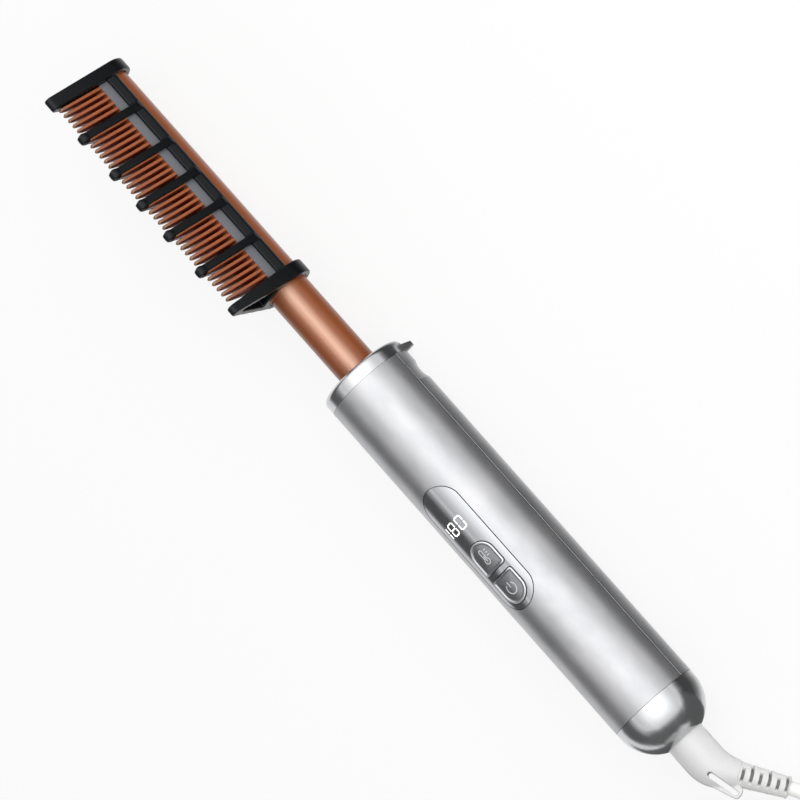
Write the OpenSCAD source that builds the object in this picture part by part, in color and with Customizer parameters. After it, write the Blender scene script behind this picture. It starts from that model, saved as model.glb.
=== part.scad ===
// Electric hot comb: a heated copper comb in a plastic guard, on a round handle with two buttons,
// a digit display and a swivelling cord. It lies on its stand with the teeth up. +X runs along the
// handle to the cord, +Z is the way the teeth point, and z = 0 is the table.

/* [Handle] */
// Outer diameter of the handle
handle_d = 34; // [30:0.5:38]
// Length of the two handle shells
handle_l = 149.4; // [140:0.2:165]
// Wall of the handle shells
shell_wall = 2; // [1.6:0.1:2.4]
// Depth of the scoop across the back shell, behind the stand
scoop_depth = 0.8; // [0.4:0.1:1.1]
// Distance from the collar to the middle of the scoop
scoop_from_collar = 8.5; // [7:0.5:12]

/* [Collar and stand] */
// Length of the collar ring that shows
collar_l = 5.5; // [5:0.1:7]
// Thickness of the collar's front wall
collar_front_t = 2.2; // [1.6:0.1:3]
// Radius of the collar's front edge
collar_edge_r = 2; // [1:0.1:2.6]
// Width of the stand
stand_w = 25; // [20:0.5:28]
// Thickness of the stand at the collar
stand_root_t = 3.5; // [2.8:0.1:4.5]
// Thickness of the stand at the table
stand_tip_t = 2; // [1.4:0.1:2.6]
// Length of the spigots that hold the shells together
spigot_l = 5; // [4:0.5:7]
// Wall of the spigots
spigot_wall = 1.6; // [1.2:0.1:2]

/* [End cap] */
// Length of the end cap that shows
cap_l = 16.2; // [15:0.2:19]
// Length of the cap before it rounds off
cap_straight = 2; // [1:0.2:3]
// Width of the flat rim round the boot
cap_rim = 0.3; // [0.2:0.05:0.6]
// Depth of the cap's mouth round the boot
cap_mouth_l = 6.8; // [6:0.2:8]

/* [Barrel] */
// Outer diameter of the barrel's bare neck
barrel_d = 15.4; // [14.6:0.1:15.8]
// Outer diameter of the barrel under the comb
head_d = 16.2; // [16:0.1:16.6]
// Wall of the barrel
barrel_wall = 1.5; // [1.2:0.1:1.8]
// Bare length between guard and collar
neck_l = 38.8; // [30:0.2:50]
// Length of the barrel inside the handle, behind the collar's front
barrel_held_l = 23; // [20:0.5:26]
// Length of the heat-proof bush that holds the barrel
bush_l = 14; // [12:0.5:16]
// Diameter of the cross pin in the bush
bush_pin_d = 3; // [2:0.1:3.4]

/* [Comb] */
// Number of teeth
tooth_n = 38; // [34:1:41]
// Distance from tooth to tooth
tooth_pitch = 2.43; // [2.3:0.01:2.6]
// Thickness of a tooth
tooth_t = 1.3; // [0.8:0.05:1.3]
// Distance from the barrel's axis to the tooth tips
tooth_reach = 29.5; // [27:0.1:32]
// Distance from the barrel's axis to the tooth roots
root_reach = 10; // [9.6:0.1:11]
// Half width of a tooth at its root
root_half_w = 5.2; // [5:0.05:5.5]
// Half width of a tooth at its tip
tip_half_w = 0.9; // [0.7:0.05:1]
// Half width of the comb's base on the barrel
base_half_w = 4.6; // [4:0.1:4.7]
// Gap between the first tooth and the guard's tip plate
comb_tip_gap = 0.3; // [0.2:0.1:1.5]
// Gap between the last tooth and the guard's handle-side plate
comb_end_gap = 0.9; // [0.6:0.1:1.6]

/* [Guard] */
// Thickness of the plate at the tip
tip_plate_t = 5; // [4.6:0.1:6]
// Thickness of the skin in front of the barrel's end
tip_skin = 1.5; // [1:0.1:1.8]
// Thickness of the handle-side plate at its ring
ring_plate_t = 5.7; // [5:0.1:7]
// Thickness of the handle-side plate at its tip
ring_plate_tip_t = 3.2; // [2.6:0.1:4]
// Wall of the rings round the barrel
ring_wall = 2.1; // [1.8:0.1:2.6]
// Width of a finger along the comb
finger_w = 3; // [2.4:0.1:3.6]
// Radius of the knob at each finger's tip
knob_r = 1.9; // [1.7:0.05:2.2]
// How far the knobs stand past the tooth tips
knob_past = 2.6; // [2.3:0.1:3.2]
// Half width of the guard over its rails
rail_half_w = 8.6; // [8.5:0.05:9]
// Thickness of the arms of the handle-side plate
plate_arm_t = 2.5; // [1.8:0.1:2.8]

/* [Panel] */
// Length of the control panel
panel_l = 52.6; // [50:0.2:58]
// Width of the control panel
panel_w = 16.2; // [15.4:0.1:17]
// Thickness of the control panel
panel_t = 1.2; // [1:0.05:1.3]
// Distance from the collar to the panel
panel_from_collar = 44; // [40:0.2:50]
// Gap round the panel
panel_gap = 0.3; // [0.2:0.05:0.4]
// Width of the ledge that the panel lies on
ledge_w = 1.5; // [1.2:0.1:1.8]

/* [Buttons] */
// Length of a button
button_l = 11.8; // [11:0.1:12.2]
// Width of a button
button_w = 10.8; // [10:0.1:11.2]
// Distance from button to button
button_spacing = 14.2; // [13.6:0.1:14.6]
// Distance from the panel's end to the power button's round end
button_end = 2.2; // [2:0.1:3]
// Gap round a button
button_gap = 0.25; // [0.2:0.01:0.35]
// How far a button stands above the panel
button_proud = 0.5; // [0.45:0.05:0.7]
// Width of the raised lip round a button
button_lip = 0.9; // [0.7:0.05:1.1]
// Depth of the dish inside the lip
button_dish = 0.45; // [0.3:0.05:0.6]
// Travel of a button
button_travel = 0.5; // [0.3:0.05:0.6]
// Radius of the corners of a button's straight side
button_corner = 1.2; // [0.8:0.1:1.6]

/* [Electronics] */
// Length of the circuit board
board_l = 78; // [74:0.5:84]
// Width of the circuit board
board_w = 20; // [18:0.5:21]
// Thickness of the circuit board
board_t = 1.6; // [1.2:0.1:2]
// Height of the board's top above the handle's axis
board_level = 6; // [5.5:0.1:6.5]
// Diameter of the board's screws
screw_d = 2; // [1.6:0.1:2.2]
// Side of a button's switch
switch_side = 6; // [5:0.1:6.5]
// Height of a button's switch
switch_h = 3.4; // [3:0.1:3.8]
// Diameter of a switch's plunger
plunger_d = 3.4; // [3:0.1:4]
// Width of the display module, across the handle
display_w = 12; // [11.5:0.1:12.5]
// Length of the display module
display_l = 8; // [7:0.1:9]
// Distance from the middle of the temperature button to the middle of the display
display_from_button = 14.2; // [13.8:0.1:15]
// How far the display lies off the handle's top line
display_side = 2.2; // [1.8:0.1:2.4]

/* [Heater] */
// Width of the heating element
element_w = 8.6; // [7:0.1:9]
// Thickness of the heating element
element_t = 3; // [2:0.1:3.4]
// Diameter of the heater's wires
lead_d = 1.4; // [1:0.1:1.6]

/* [Swivel] */
// Diameter of the boot where it leaves the cap
boot_d = 14.7; // [14:0.1:15.2]
// Length of the boot's straight part outside the cap
boot_straight = 10.3; // [9:0.1:11]
// Diameter of the flange that holds the boot in the cap
flange_d = 19.2; // [18.6:0.1:20]
// Thickness of that flange
flange_t = 3; // [2.4:0.1:3.4]
// Diameter of the boot's spindle
spindle_d = 8; // [7:0.1:9]
// Running gap round the spindle
running_gap = 0.06; // [0.04:0.01:0.09]
// Diameter of the contact rings
contact_d = 10; // [9.6:0.1:11]
// Angle below level at which the boot's bend lies
boot_turn = 38; // [30:1:44]
// Angle between the strain relief and the handle
relief_bend = 33.5; // [28:0.5:38]
// Length of the strain relief
relief_l = 17.8; // [16:0.2:19]
// Distance from slot to slot in the strain relief
relief_pitch = 3.1; // [3:0.1:3.3]
// Slots in the strain relief
relief_slots = 6; // [4:1:6]

/* [Cord] */
// Diameter of the cord
cord_d = 5; // [5:0.1:5]
// Length of the straight runs of the cord's hank
hank_run = 35; // [35:1:35]
// Middle diameter of the hank's folds
fold_mean_d = 40; // [40:1:40]
// Layers of turns in the hank
hank_layers = 4; // [4:1:4]
// Turns side by side in each layer
hank_columns = 2; // [2:1:2]
// Thickness of the tie round the hank
tie_t = 0.5; // [0.5:0.1:0.5]
// Width of the tie
tie_w = 8; // [6:0.5:10]
// Width of the plug
plug_w = 35; // [33:0.5:35.3]
// Thickness of the plug
plug_h = 13.7; // [13:0.1:14]
// Length of the plug's body
plug_l = 26; // [24:0.5:28]
// Diameter of the plug's pins
pin_d = 4; // [4:0.1:4]
// Length of the plug's pins
pin_l = 19; // [18:0.5:19]
// Distance between the plug's pins
pin_spacing = 18.6; // [18:0.1:19]

/* [Hidden] */
$fn = 96;
small_fn = 48;

// Clearances
fit = 0.05;          // pieces that seat in each other
slide_gap = 0.3;     // pieces of different bodies that pass each other
guard_gap = 0.1;     // guard round the barrel and the strips
tuck = 0.02;         // how far a straight edge starts inside the round one that it leaves
tooth_gap = 0.35;    // guard fingers round the teeth
eps = 0.01;

// Radii and heights
axis_h = handle_d / 2;
shell_r = handle_d / 2 - shell_wall;
barrel_r = barrel_d / 2;
head_r = head_d / 2;
bore_r = barrel_r - barrel_wall;
guard_bore_r = head_r + guard_gap;
ring_r = guard_bore_r + ring_wall;
knob_at = tooth_reach + knob_past - knob_r;
flare = (root_half_w - tip_half_w) / (tooth_reach - root_reach);
strip_foot = 5.2;
rail_foot = 1.9;
rail_bulge = 3.4;
rail_slope = 1.4;
rail_top = strip_foot + 1.2;
rail_top_half = rail_half_w - rail_slope;
finger_foot = 4;
finger_past_rail = 0.2;
plate_hole_foot = ring_r + 0.2;
plate_hole_top = knob_at - 3.6;

// The collar lies a hair inside the shells, so that only its stand touches the table
collar_r = handle_d / 2 - 0.05;

// Stations along the handle, from the middle of the whole length
teeth_l = (tooth_n - 1) * tooth_pitch + tooth_t;
comb_l = comb_tip_gap + teeth_l + comb_end_gap;
guard_l = tip_plate_t + comb_l + ring_plate_t;
overall_l = guard_l + neck_l + collar_l + handle_l + cap_l;
x_tip = -overall_l / 2;
x_window = x_tip + tip_plate_t;
x_first_tooth = x_window + comb_tip_gap + tooth_t / 2;
x_ring_plate = x_window + comb_l;
x_neck = x_ring_plate + ring_plate_t;
x_collar = x_neck + neck_l;
x_shell = x_collar + collar_l;
x_cap = x_shell + handle_l;
x_end = x_cap + cap_l;
x_bush = x_shell + spigot_l + fit;
x_barrel_end = x_collar + barrel_held_l;

// Fingers stand between two teeth: the number of the tooth before each one
FINGER_AFTER = [5.5, 12.5, 18.5, 24.5, 31.5];

// Panel, buttons and display
x_panel = x_shell + panel_from_collar;
x_panel_end = x_panel + panel_l;
x_power = x_panel_end - button_end - button_l / 2;
x_temp = x_power - button_spacing;
x_display = x_temp - display_from_button;
panel_under_r = handle_d / 2 - panel_t;
window_w = panel_w - 2 * ledge_w;
flange_margin = 0.55;
button_flange_t = 0.8;
button_flange_top = sqrt(pow(panel_under_r, 2) - pow(button_w / 2 + flange_margin, 2)) - slide_gap;
stem_d = plunger_d + 1;
switch_top = board_level + switch_h;
stem_foot = switch_top + button_travel + 0.4;
plunger_foot = board_level + 0.6 + button_travel + 0.2;

// Board
x_board = x_panel + panel_l / 2 - board_l / 2 + 1;
post_side = board_w / 2 - 2.4;
post_d = screw_d + 2.6;
x_posts = [x_board + 3, x_board + board_l - 3];
screw_in = 4;
board_under = board_level - board_t;

// Heater
heater_from_window = 5;
heater_short_of_plate = 4;
x_heater = x_window + heater_from_window;
heater_l = comb_l - heater_from_window - heater_short_of_plate;
x_heater_end = x_heater + heater_l;
heater_margin = 2;
fuse_d = 3.6;
fuse_l = 9;
sensor_d = 2.4;
sensor_l = 5;
sensor_level = bore_r - 0.6 - sensor_d / 2;
sensor_lead_d = 1;
mains_lead_d = 1.8;
mains_spread = 3;
wire_rise_l = 8;
wire_sides = 8;
board_edge_level = board_under + board_t / 2;

// Swivel
mouth_r = boot_d / 2 + slide_gap;
cap_end_r = mouth_r + cap_rim;
cap_round_l = cap_l - cap_straight;
cap_drop = handle_d / 2 - cap_end_r;
cap_arc_r = (pow(cap_round_l, 2) + pow(cap_drop, 2)) / (2 * cap_drop);
x_flange_end = x_end - cap_mouth_l - slide_gap;
x_flange = x_flange_end - flange_t;
x_bearing = x_cap;
bearing_t = x_flange - slide_gap - x_bearing;
pocket_r = flange_d / 2 + slide_gap;
spindle_past_bearing = 13;
x_spindle = x_bearing - spindle_past_bearing;
brush_w = 2;
x_rings = [x_spindle + 2.5, x_spindle + 8.5];
ring_l = 2.4;
brush_gap = 0.05;
x_holder = x_spindle - 1;
brush_holder_w = 12;
brush_holder_t = 3;
brush_holder_foot = contact_d / 2 + 1.6;

// Boot outside the cap, in the plane of its bend: each section's place along and across the
// handle's axis, its slant and its radius, as shares of the boot's own
x_bend = x_end + boot_straight;
bend_to = [11.6, 5.6];
BEND = [
    [-0.5, 0, 0, 1], [0, 0, 0, 1], [1.6, 0.1, 5, 0.99], [3.2, 0.4, 10, 0.97], [4.8, 0.9, 14, 0.94],
    [6.4, 1.65, 19, 0.89], [8, 2.65, 24, 0.83], [9.4, 3.7, 28, 0.77], [10.5, 4.65, 31, 0.71],
    [11.6, 5.6, 33.5, 0.66]
];
relief_r = [4.4, 3.75];
relief_slot_w = 1.1;
relief_first_slot = 0.2;
relief_slot_in = 1.9;
relief_lean = 15;
// Slots are cut in turn straight across and from one side: how far round each reaches, and its turn
RELIEF_CUTS = [[3, 0], [3.7, -38]];
tab_t = 5;
tab_slot = [[5.2, -2], [15.6, 0.4]];
tab_slot_w = 1.9;
TAB = [
    [-0.4, 1.2 - boot_d / 2], [2.4, -6.1], [5, -5], [8.8, -4.2], [16, -1.4], [17, -0.9], [17.5, 0],
    [17.3, 1.6], [16.4, 3], [14.4, 3.4], [11.4, 3.6], [6, 2], [0, -2]
];

// Cord: the stretch from the strain relief to the hank, and the one from the hank to the plug
LEAD = [
    [193.1, 12.1, 7.5], [195.2, 13.05, 6.7], [197.3, 13.9, 6], [199.15, 14.6, 5.3], [201, 15.2, 4.6],
    [203.5, 15.85, 3.9], [206, 16.4, 3.3], [208.5, 16.8, 2.95], [211, 17.1, 2.7], [216, 17.4, 2.6],
    [222, 17.5, 3]
];
TAIL = [
    [266.8, 15.3, 23], [273.7, 9.4, 23], [276.9, 0.6, 23.2], [275.3, -8.6, 24],
    [269.3, -15.7, 25.3], [262.1, -18.7, 26.6], [255.5, -19, 27.3], [251, -19, 27.4]
];
hank_at = [222, -5];
hank_w = hank_columns * cord_d;
hank_h = hank_layers * cord_d;
fold_out_d = fold_mean_d + hank_w;
fold_in_d = fold_mean_d - hank_w;
tie_from_fold = 24;
plug_at = TAIL[len(TAIL) - 1];
plug_neck_l = 8;
plug_neck_d = cord_d + 3;
plug_back_w = 12;
plug_slope_l = 11.7;
cord_sides = 10;

// ---------- shapes that several pieces share ----------

// A bar along X with the outline drawn across the handle: x of the outline is Y, y is height
module bar_x(length) rotate([90, 0, 90]) linear_extrude(length) children();

// A round rod along X
module rod_x(d, length) rotate([0, 90, 0]) cylinder(d = d, h = length);

// A small upright rod
module peg(d, h) cylinder(d = d, h = h, $fn = small_fn);

// Something placed on the handle's axis at a station
module on_axis(x) translate([x, 0, axis_h]) children();

// Half width of the comb's wedge at a height above the axis
function wedge(height) = tip_half_w + (tooth_reach - height) * flare;

// Where a straight edge leaves the round tip of a finger, coming from the point p
function leaves_tip(p) =
    let (reach = norm([p[0], knob_at - p[1]]), r = knob_r - tuck,
         turn = atan2(p[0], knob_at - p[1]) - asin(r / reach))
    [r * cos(turn), knob_at + r * sin(turn)];

// A wedge with a round tip: straight edges from the points at p, left and right
module pointed(p) {
    edge = leaves_tip(p);
    polygon([[-p[0], p[1]], p, edge, [-edge[0], edge[1]]]);
    translate([0, knob_at]) circle(r = knob_r);
}

// The space that the comb and its strips fill, with a gap round it
module comb_space(gap) {
    top = tooth_reach + gap;
    polygon([
        [-wedge(strip_foot - gap) - gap, strip_foot - gap], [wedge(strip_foot - gap) + gap, strip_foot - gap],
        [wedge(top) + gap, top], [-wedge(top) - gap, top]
    ]);
}

// A stadium along X, seen from above
module stadium(length, width) {
    translate([width / 2, 0]) circle(d = width);
    translate([length - width / 2, 0]) circle(d = width);
    translate([width / 2, -width / 2]) square([length - width, width]);
}

// A D-shaped button, seen from above, with its round end at +x
module d_shape(length, width, corner) {
    round_r = width / 2;
    translate([length / 2 - round_r, 0]) circle(r = round_r);
    translate([-length / 2 + corner, -round_r]) square([length - round_r - corner, width]);
    translate([-length / 2, -round_r + corner]) square([corner + eps, width - 2 * corner]);
    for (side = [-1, 1])
        translate([-length / 2 + corner, side * (round_r - corner)]) circle(r = corner, $fn = small_fn);
}

// A tube swept along a list of points, closed at both ends
function along(p, i) =
    let (before = p[max(i - 1, 0)], after = p[min(i + 1, len(p) - 1)])
    (after - before) / norm(after - before);
function side_of(way) = let (s = cross(way, [0, 0, 1])) s / norm(s);
module sweep(p, d, sides) {
    rings = [for (i = [0:len(p) - 1])
        let (way = along(p, i), side = side_of(way), up = cross(side, way))
        for (k = [0:sides - 1]) p[i] + d / 2 * (cos(360 * k / sides) * side + sin(360 * k / sides) * up)];
    tube(rings, len(p), sides);
}

// A closed tube over rings of points that follow each other
module tube(rings, count, sides) {
    last = (count - 1) * sides;
    polyhedron(
        rings,
        concat(
            [[for (k = [sides - 1:-1:0]) k]],
            [for (i = [0:count - 2], k = [0:sides - 1])
                [i * sides + k, i * sides + (k + 1) % sides,
                 (i + 1) * sides + (k + 1) % sides, (i + 1) * sides + k]],
            [[for (k = [0:sides - 1]) last + k]]
        )
    );
}

// ---------- heated comb ----------

module barrel() color("peru") difference() {
    union() {
        on_axis(x_tip + tip_skin + fit) rod_x(barrel_d, x_barrel_end - x_tip - tip_skin - fit);
        on_axis(x_tip + tip_skin + fit) rod_x(head_d, x_neck - slide_gap - x_tip - tip_skin - fit);
    }
    on_axis(x_tip) rod_x(2 * bore_r, x_barrel_end - x_tip + 1);
    for (x = guard_screw_x) translate([x, 0, 0]) peg(screw_d + 2 * fit, axis_h);
    translate([x_pin, -handle_d / 2, axis_h]) rotate([-90, 0, 0]) peg(bush_pin_d + 2 * fit, handle_d);
}

module comb_base() color("peru") on_axis(x_first_tooth - tooth_t / 2) bar_x(teeth_l) difference() {
    translate([-base_half_w, strip_foot]) square([2 * base_half_w, root_reach - strip_foot]);
    circle(r = head_r + fit);
}

module comb_teeth() color("peru") for (i = [0:tooth_n - 1])
    on_axis(x_first_tooth + i * tooth_pitch - tooth_t / 2) bar_x(tooth_t) tooth_outline();

module tooth_outline() {
    polygon([
        [-wedge(root_reach), root_reach], [wedge(root_reach), root_reach],
        [wedge(tooth_reach - tip_half_w), tooth_reach - tip_half_w],
        [-wedge(tooth_reach - tip_half_w), tooth_reach - tip_half_w]
    ]);
    translate([0, tooth_reach - tip_half_w]) circle(r = tip_half_w, $fn = small_fn);
}

module side_strip(side) color("darkgray")
    on_axis(x_window + guard_gap) bar_x(comb_l - 2 * guard_gap) mirror([side < 0 ? 1 : 0, 0]) difference() {
        polygon([
            [base_half_w + fit, root_reach - fit], [wedge(root_reach), root_reach - fit],
            [wedge(strip_foot), strip_foot], [base_half_w + fit, strip_foot]
        ]);
        circle(r = head_r + fit);
    }
module side_strip_left() side_strip(1);
module side_strip_right() side_strip(-1);

// ---------- guard ----------

guard_screw_x = [x_tip + (tip_skin + tip_plate_t) / 2, x_ring_plate + ring_plate_t / 2];
x_pin = x_bush + bush_l / 2;

module rail_outline() difference() {
    polygon([
        [-guard_bore_r, rail_foot], [guard_bore_r, rail_foot], [rail_half_w, rail_bulge],
        [rail_top_half, rail_top], [-rail_top_half, rail_top], [-rail_half_w, rail_bulge]
    ]);
    circle(r = guard_bore_r);
    comb_space(guard_gap);
}

module finger_outline() difference() {
    pointed([rail_half_w + finger_past_rail, finger_foot]);
    circle(r = guard_bore_r);
    comb_space(tooth_gap);
}

module plate_outline() {
    lean = asin((ring_r - knob_r) / knob_at);
    circle(r = ring_r);
    pointed([(ring_r - tuck) * cos(lean), (ring_r - tuck) * sin(lean)]);
}

module plate_hole() {
    lean = asin((ring_r - knob_r) / knob_at);
    edge = (ring_r - plate_arm_t) / cos(lean);
    foot_half = edge - plate_hole_foot * tan(lean);
    top_half = edge - plate_hole_top * tan(lean);
    polygon([
        [-foot_half, plate_hole_foot], [foot_half, plate_hole_foot],
        [top_half, plate_hole_top], [-top_half, plate_hole_top]
    ]);
}

module guard() color("dimgray") difference() {
    union() {
        on_axis(x_tip) bar_x(tip_plate_t) plate_outline();
        on_axis(x_window - 1) bar_x(comb_l + 2) rail_outline();
        for (after = FINGER_AFTER)
            on_axis(x_first_tooth + after * tooth_pitch - finger_w / 2) bar_x(finger_w) finger_outline();
        intersection() {
            on_axis(x_ring_plate) bar_x(ring_plate_t) difference() {
                plate_outline();
                plate_hole();
            }
            ring_plate_sides();
        }
    }
    on_axis(x_tip + tip_skin) rod_x(2 * guard_bore_r, guard_l);
    for (x = guard_screw_x) translate([x, 0, axis_h - ring_r - 1]) {
        peg(screw_d + 2 * guard_gap, ring_r);
        peg(2 * screw_d + 2 * guard_gap, 1 + ring_wall / 2);
    }
}

// The handle-side plate thins from its ring to its tip
module ring_plate_sides() {
    middle = x_ring_plate + ring_plate_t / 2;
    shoulder = axis_h + rail_bulge;
    tip = axis_h + knob_at + knob_r;
    translate([0, ring_r + 1, 0]) rotate([90, 0, 0]) linear_extrude(2 * ring_r + 2) polygon([
        [x_ring_plate, axis_h - ring_r], [x_neck, axis_h - ring_r], [x_neck, shoulder],
        [middle + ring_plate_tip_t / 2, tip], [middle - ring_plate_tip_t / 2, tip], [x_ring_plate, shoulder]
    ]);
}

module guard_screws() color("gray") for (x = guard_screw_x) translate([x, 0, axis_h - ring_r + 0.2]) {
    peg(2 * screw_d, ring_wall / 2 - 0.2);
    peg(screw_d, ring_wall + barrel_wall);
}

// ---------- handle ----------

module collar() color("silver") difference() {
    union() {
        on_axis(x_collar) rotate([0, 90, 0]) rotate_extrude() polygon([
            [0, collar_l], [0, 0],
            for (turn = [0:10:90]) [
                collar_r - collar_edge_r * (1 - sin(turn)), collar_edge_r * (1 - cos(turn))
            ],
            [collar_r, collar_l]
        ]);
        on_axis(x_collar + collar_front_t) rod_x(2 * (shell_r - fit), collar_l - collar_front_t + spigot_l);
        stand();
    }
    on_axis(x_collar - 1) rod_x(barrel_d + 4 * guard_gap, handle_d);
    on_axis(x_collar + collar_front_t) rod_x(2 * (shell_r - fit - spigot_wall), handle_d);
}

// The stand: a flat foot that thins towards the table
module stand() intersection() {
    translate([x_shell - stand_root_t, -stand_w / 2, 0]) cube([stand_root_t, stand_w, axis_h]);
    translate([0, stand_w, 0]) rotate([90, 0, 0]) linear_extrude(2 * stand_w) polygon([
        [x_shell - stand_tip_t - stand_set_back, 0], [x_shell - stand_set_back, 0],
        [x_shell, stand_foot_rise], [x_shell, stand_top],
        [x_shell - stand_root_t, stand_top], [x_shell - stand_root_t, stand_foot_rise]
    ]);
}
stand_set_back = 0.9;
stand_top = axis_h * 0.7;
stand_foot_rise = handle_d / 2 - sqrt(pow(handle_d / 2, 2) - pow(stand_w / 2, 2));

module shell_tube() difference() {
    on_axis(x_shell) rod_x(handle_d, handle_l);
    on_axis(x_shell - 1) rod_x(2 * shell_r, handle_l + 2);
}

// Ribs inside the shells that hold the bush
bush_rib_t = 1.6;
module bush_rib() difference() {
    on_axis(x_bush + bush_l + fit) rod_x(2 * (shell_r + eps), bush_rib_t);
    on_axis(x_bush) rod_x(barrel_d + 2, handle_l);
}

module front_shell() color("silver") {
    difference() {
        union() {
            shell_tube();
            bush_rib();
        }
        translate([x_tip, -handle_d, -1]) cube([overall_l, 2 * handle_d, axis_h + 1]);
        panel_cut(panel_gap, panel_under_r - fit);
        translate([x_panel + ledge_w, 0, axis_h]) linear_extrude(handle_d)
            stadium(panel_l - 2 * ledge_w, window_w);
    }
    difference() {
        intersection() {
            for (x = x_posts, side = [-1, 1])
                translate([x, side * post_side, axis_h + board_level]) peg(post_d, handle_d / 2);
            on_axis(x_shell) rod_x(2 * (shell_r + eps), handle_l);
        }
        for (x = x_posts, side = [-1, 1])
            translate([x, side * post_side, axis_h]) peg(screw_d + 2 * fit, board_level + screw_in + fit);
    }
}

module back_shell() color("silver") {
    difference() {
        union() {
            shell_tube();
            bush_rib();
        }
        translate([x_tip, -handle_d, axis_h]) cube([overall_l, 2 * handle_d, handle_d]);
        on_axis(x_shell + scoop_from_collar) rotate([0, 90, 0]) rotate_extrude()
            translate([handle_d / 2 + scoop_r - scoop_depth, 0]) circle(r = scoop_r, $fn = small_fn);
    }
    // Clips that reach inside the front shell
    for (x = [x_shell + 0.25 * handle_l, x_shell + 0.85 * handle_l]) intersection() {
        translate([x, -handle_d, axis_h - clip_h]) cube([clip_l, 2 * handle_d, 2 * clip_h]);
        difference() {
            union() {
                on_axis(x) rod_x(2 * (shell_r - fit), clip_l);
                translate([x, -shell_r - 0.5, axis_h - clip_h]) cube([clip_l, 2 * shell_r + 1, clip_h]);
            }
            on_axis(x - 1) rod_x(2 * (shell_r - clip_t), clip_l + 2);
        }
    }
}
scoop_r = 10;
clip_t = 1;
clip_h = 3;
clip_l = 8;

// A pocket for the panel, down to the radius r
module panel_cut(gap, r) difference() {
    translate([x_panel - gap, 0, axis_h]) linear_extrude(handle_d)
        stadium(panel_l + 2 * gap, panel_w + 2 * gap);
    on_axis(x_panel - 2) rod_x(2 * r, panel_l + 4);
}

module end_cap() color("silver") difference() {
    union() {
        on_axis(x_cap) rotate([0, 90, 0]) rotate_extrude() difference() {
            intersection() {
                square([handle_d / 2, cap_l]);
                union() {
                    square([handle_d / 2, cap_straight]);
                    translate([handle_d / 2 - cap_arc_r, cap_straight]) circle(r = cap_arc_r);
                }
            }
            translate([-cap_arc_r, 0]) square([cap_arc_r, cap_l]);
        }
        on_axis(x_cap - spigot_l) rod_x(2 * (shell_r - fit), spigot_l + 1);
    }
    on_axis(x_flange) rod_x(2 * mouth_r, overall_l);
    on_axis(x_cap - spigot_l - 1) rod_x(2 * pocket_r, x_end - cap_mouth_l - x_cap + spigot_l + 1);
    on_axis(x_cap - spigot_l - 1) rod_x(2 * (shell_r - fit - spigot_wall), spigot_l + 1);
}

module barrel_bush() color("ivory") difference() {
    on_axis(x_bush) rod_x(2 * (shell_r - fit), bush_l);
    on_axis(x_bush - 1) rod_x(barrel_d + 2 * fit, bush_l + 2);
    translate([x_pin, -handle_d / 2, axis_h]) rotate([-90, 0, 0]) peg(bush_pin_d + 2 * fit, handle_d);
}

module bush_pin() color("gainsboro")
    translate([x_pin, -shell_r + 0.6, axis_h]) rotate([-90, 0, 0]) peg(bush_pin_d, 2 * shell_r - 1.2);

// ---------- panel and buttons ----------

module control_panel() color("gray") difference() {
    intersection() {
        translate([x_panel, 0, axis_h]) linear_extrude(handle_d) stadium(panel_l, panel_w);
        on_axis(x_panel) rod_x(handle_d, panel_l);
    }
    on_axis(x_panel - 1) rod_x(2 * panel_under_r, panel_l + 2);
    button_hole(x_temp, 180);
    button_hole(x_power, 0);
}

module button_hole(x, turn) translate([x, 0, axis_h]) rotate([0, 0, turn]) linear_extrude(handle_d)
    d_shape(button_l + 2 * button_gap, button_w + 2 * button_gap, button_corner + button_gap);

module button(x, turn) color("darkgray") difference() {
    union() {
        intersection() {
            translate([x, 0, axis_h + button_flange_top - eps]) rotate([0, 0, turn]) linear_extrude(handle_d)
                d_shape(button_l, button_w, button_corner);
            on_axis(x_panel) rod_x(handle_d + 2 * button_proud, panel_l);
        }
        translate([x, 0, axis_h + button_flange_top - button_flange_t]) rotate([0, 0, turn])
            linear_extrude(button_flange_t)
                d_shape(button_l + 2 * flange_margin, button_w + 2 * flange_margin, button_corner);
        translate([x, 0, axis_h + stem_foot])
            peg(stem_d, button_flange_top - button_flange_t - stem_foot + eps);
    }
    // The dish inside the lip
    difference() {
        translate([x, 0, axis_h]) rotate([0, 0, turn]) linear_extrude(handle_d)
            d_shape(button_l - 2 * button_lip, button_w - 2 * button_lip, button_corner - 0.4);
        on_axis(x_panel) rod_x(handle_d + 2 * (button_proud - button_dish), panel_l);
    }
}
module temp_button() button(x_temp, 180);
module power_button() button(x_power, 0);

module plunger(x) color("black") translate([x, 0, axis_h + plunger_foot])
    peg(plunger_d, stem_foot - plunger_foot);
module temp_plunger() plunger(x_temp);
module power_plunger() plunger(x_power);

module switch_body(x) color("dimgray") difference() {
    translate([x - switch_side / 2, -switch_side / 2, axis_h + board_level])
        cube([switch_side, switch_side, switch_h]);
    translate([x, 0, axis_h + board_level + 0.6]) peg(plunger_d + 2 * running_gap, switch_h);
}
module temp_switch() switch_body(x_temp);
module power_switch() switch_body(x_power);

display_top = sqrt(pow(shell_r, 2) - pow(display_side + display_w / 2, 2)) - 0.3;
module display_module() color("black")
    translate([x_display - display_l / 2, -display_side - display_w / 2, axis_h + board_level])
        cube([display_l, display_w, display_top - board_level]);

module light_guide() color("white") intersection() {
    guide_low = -window_w / 2 + 0.2;
    guide_high = display_w / 2 - display_side;
    translate([x_display - display_l / 2, guide_low, axis_h + display_top])
        cube([display_l, guide_high - guide_low, handle_d]);
    on_axis(x_panel) rod_x(2 * (panel_under_r - fit), panel_l);
}

// ---------- electronics ----------

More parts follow.
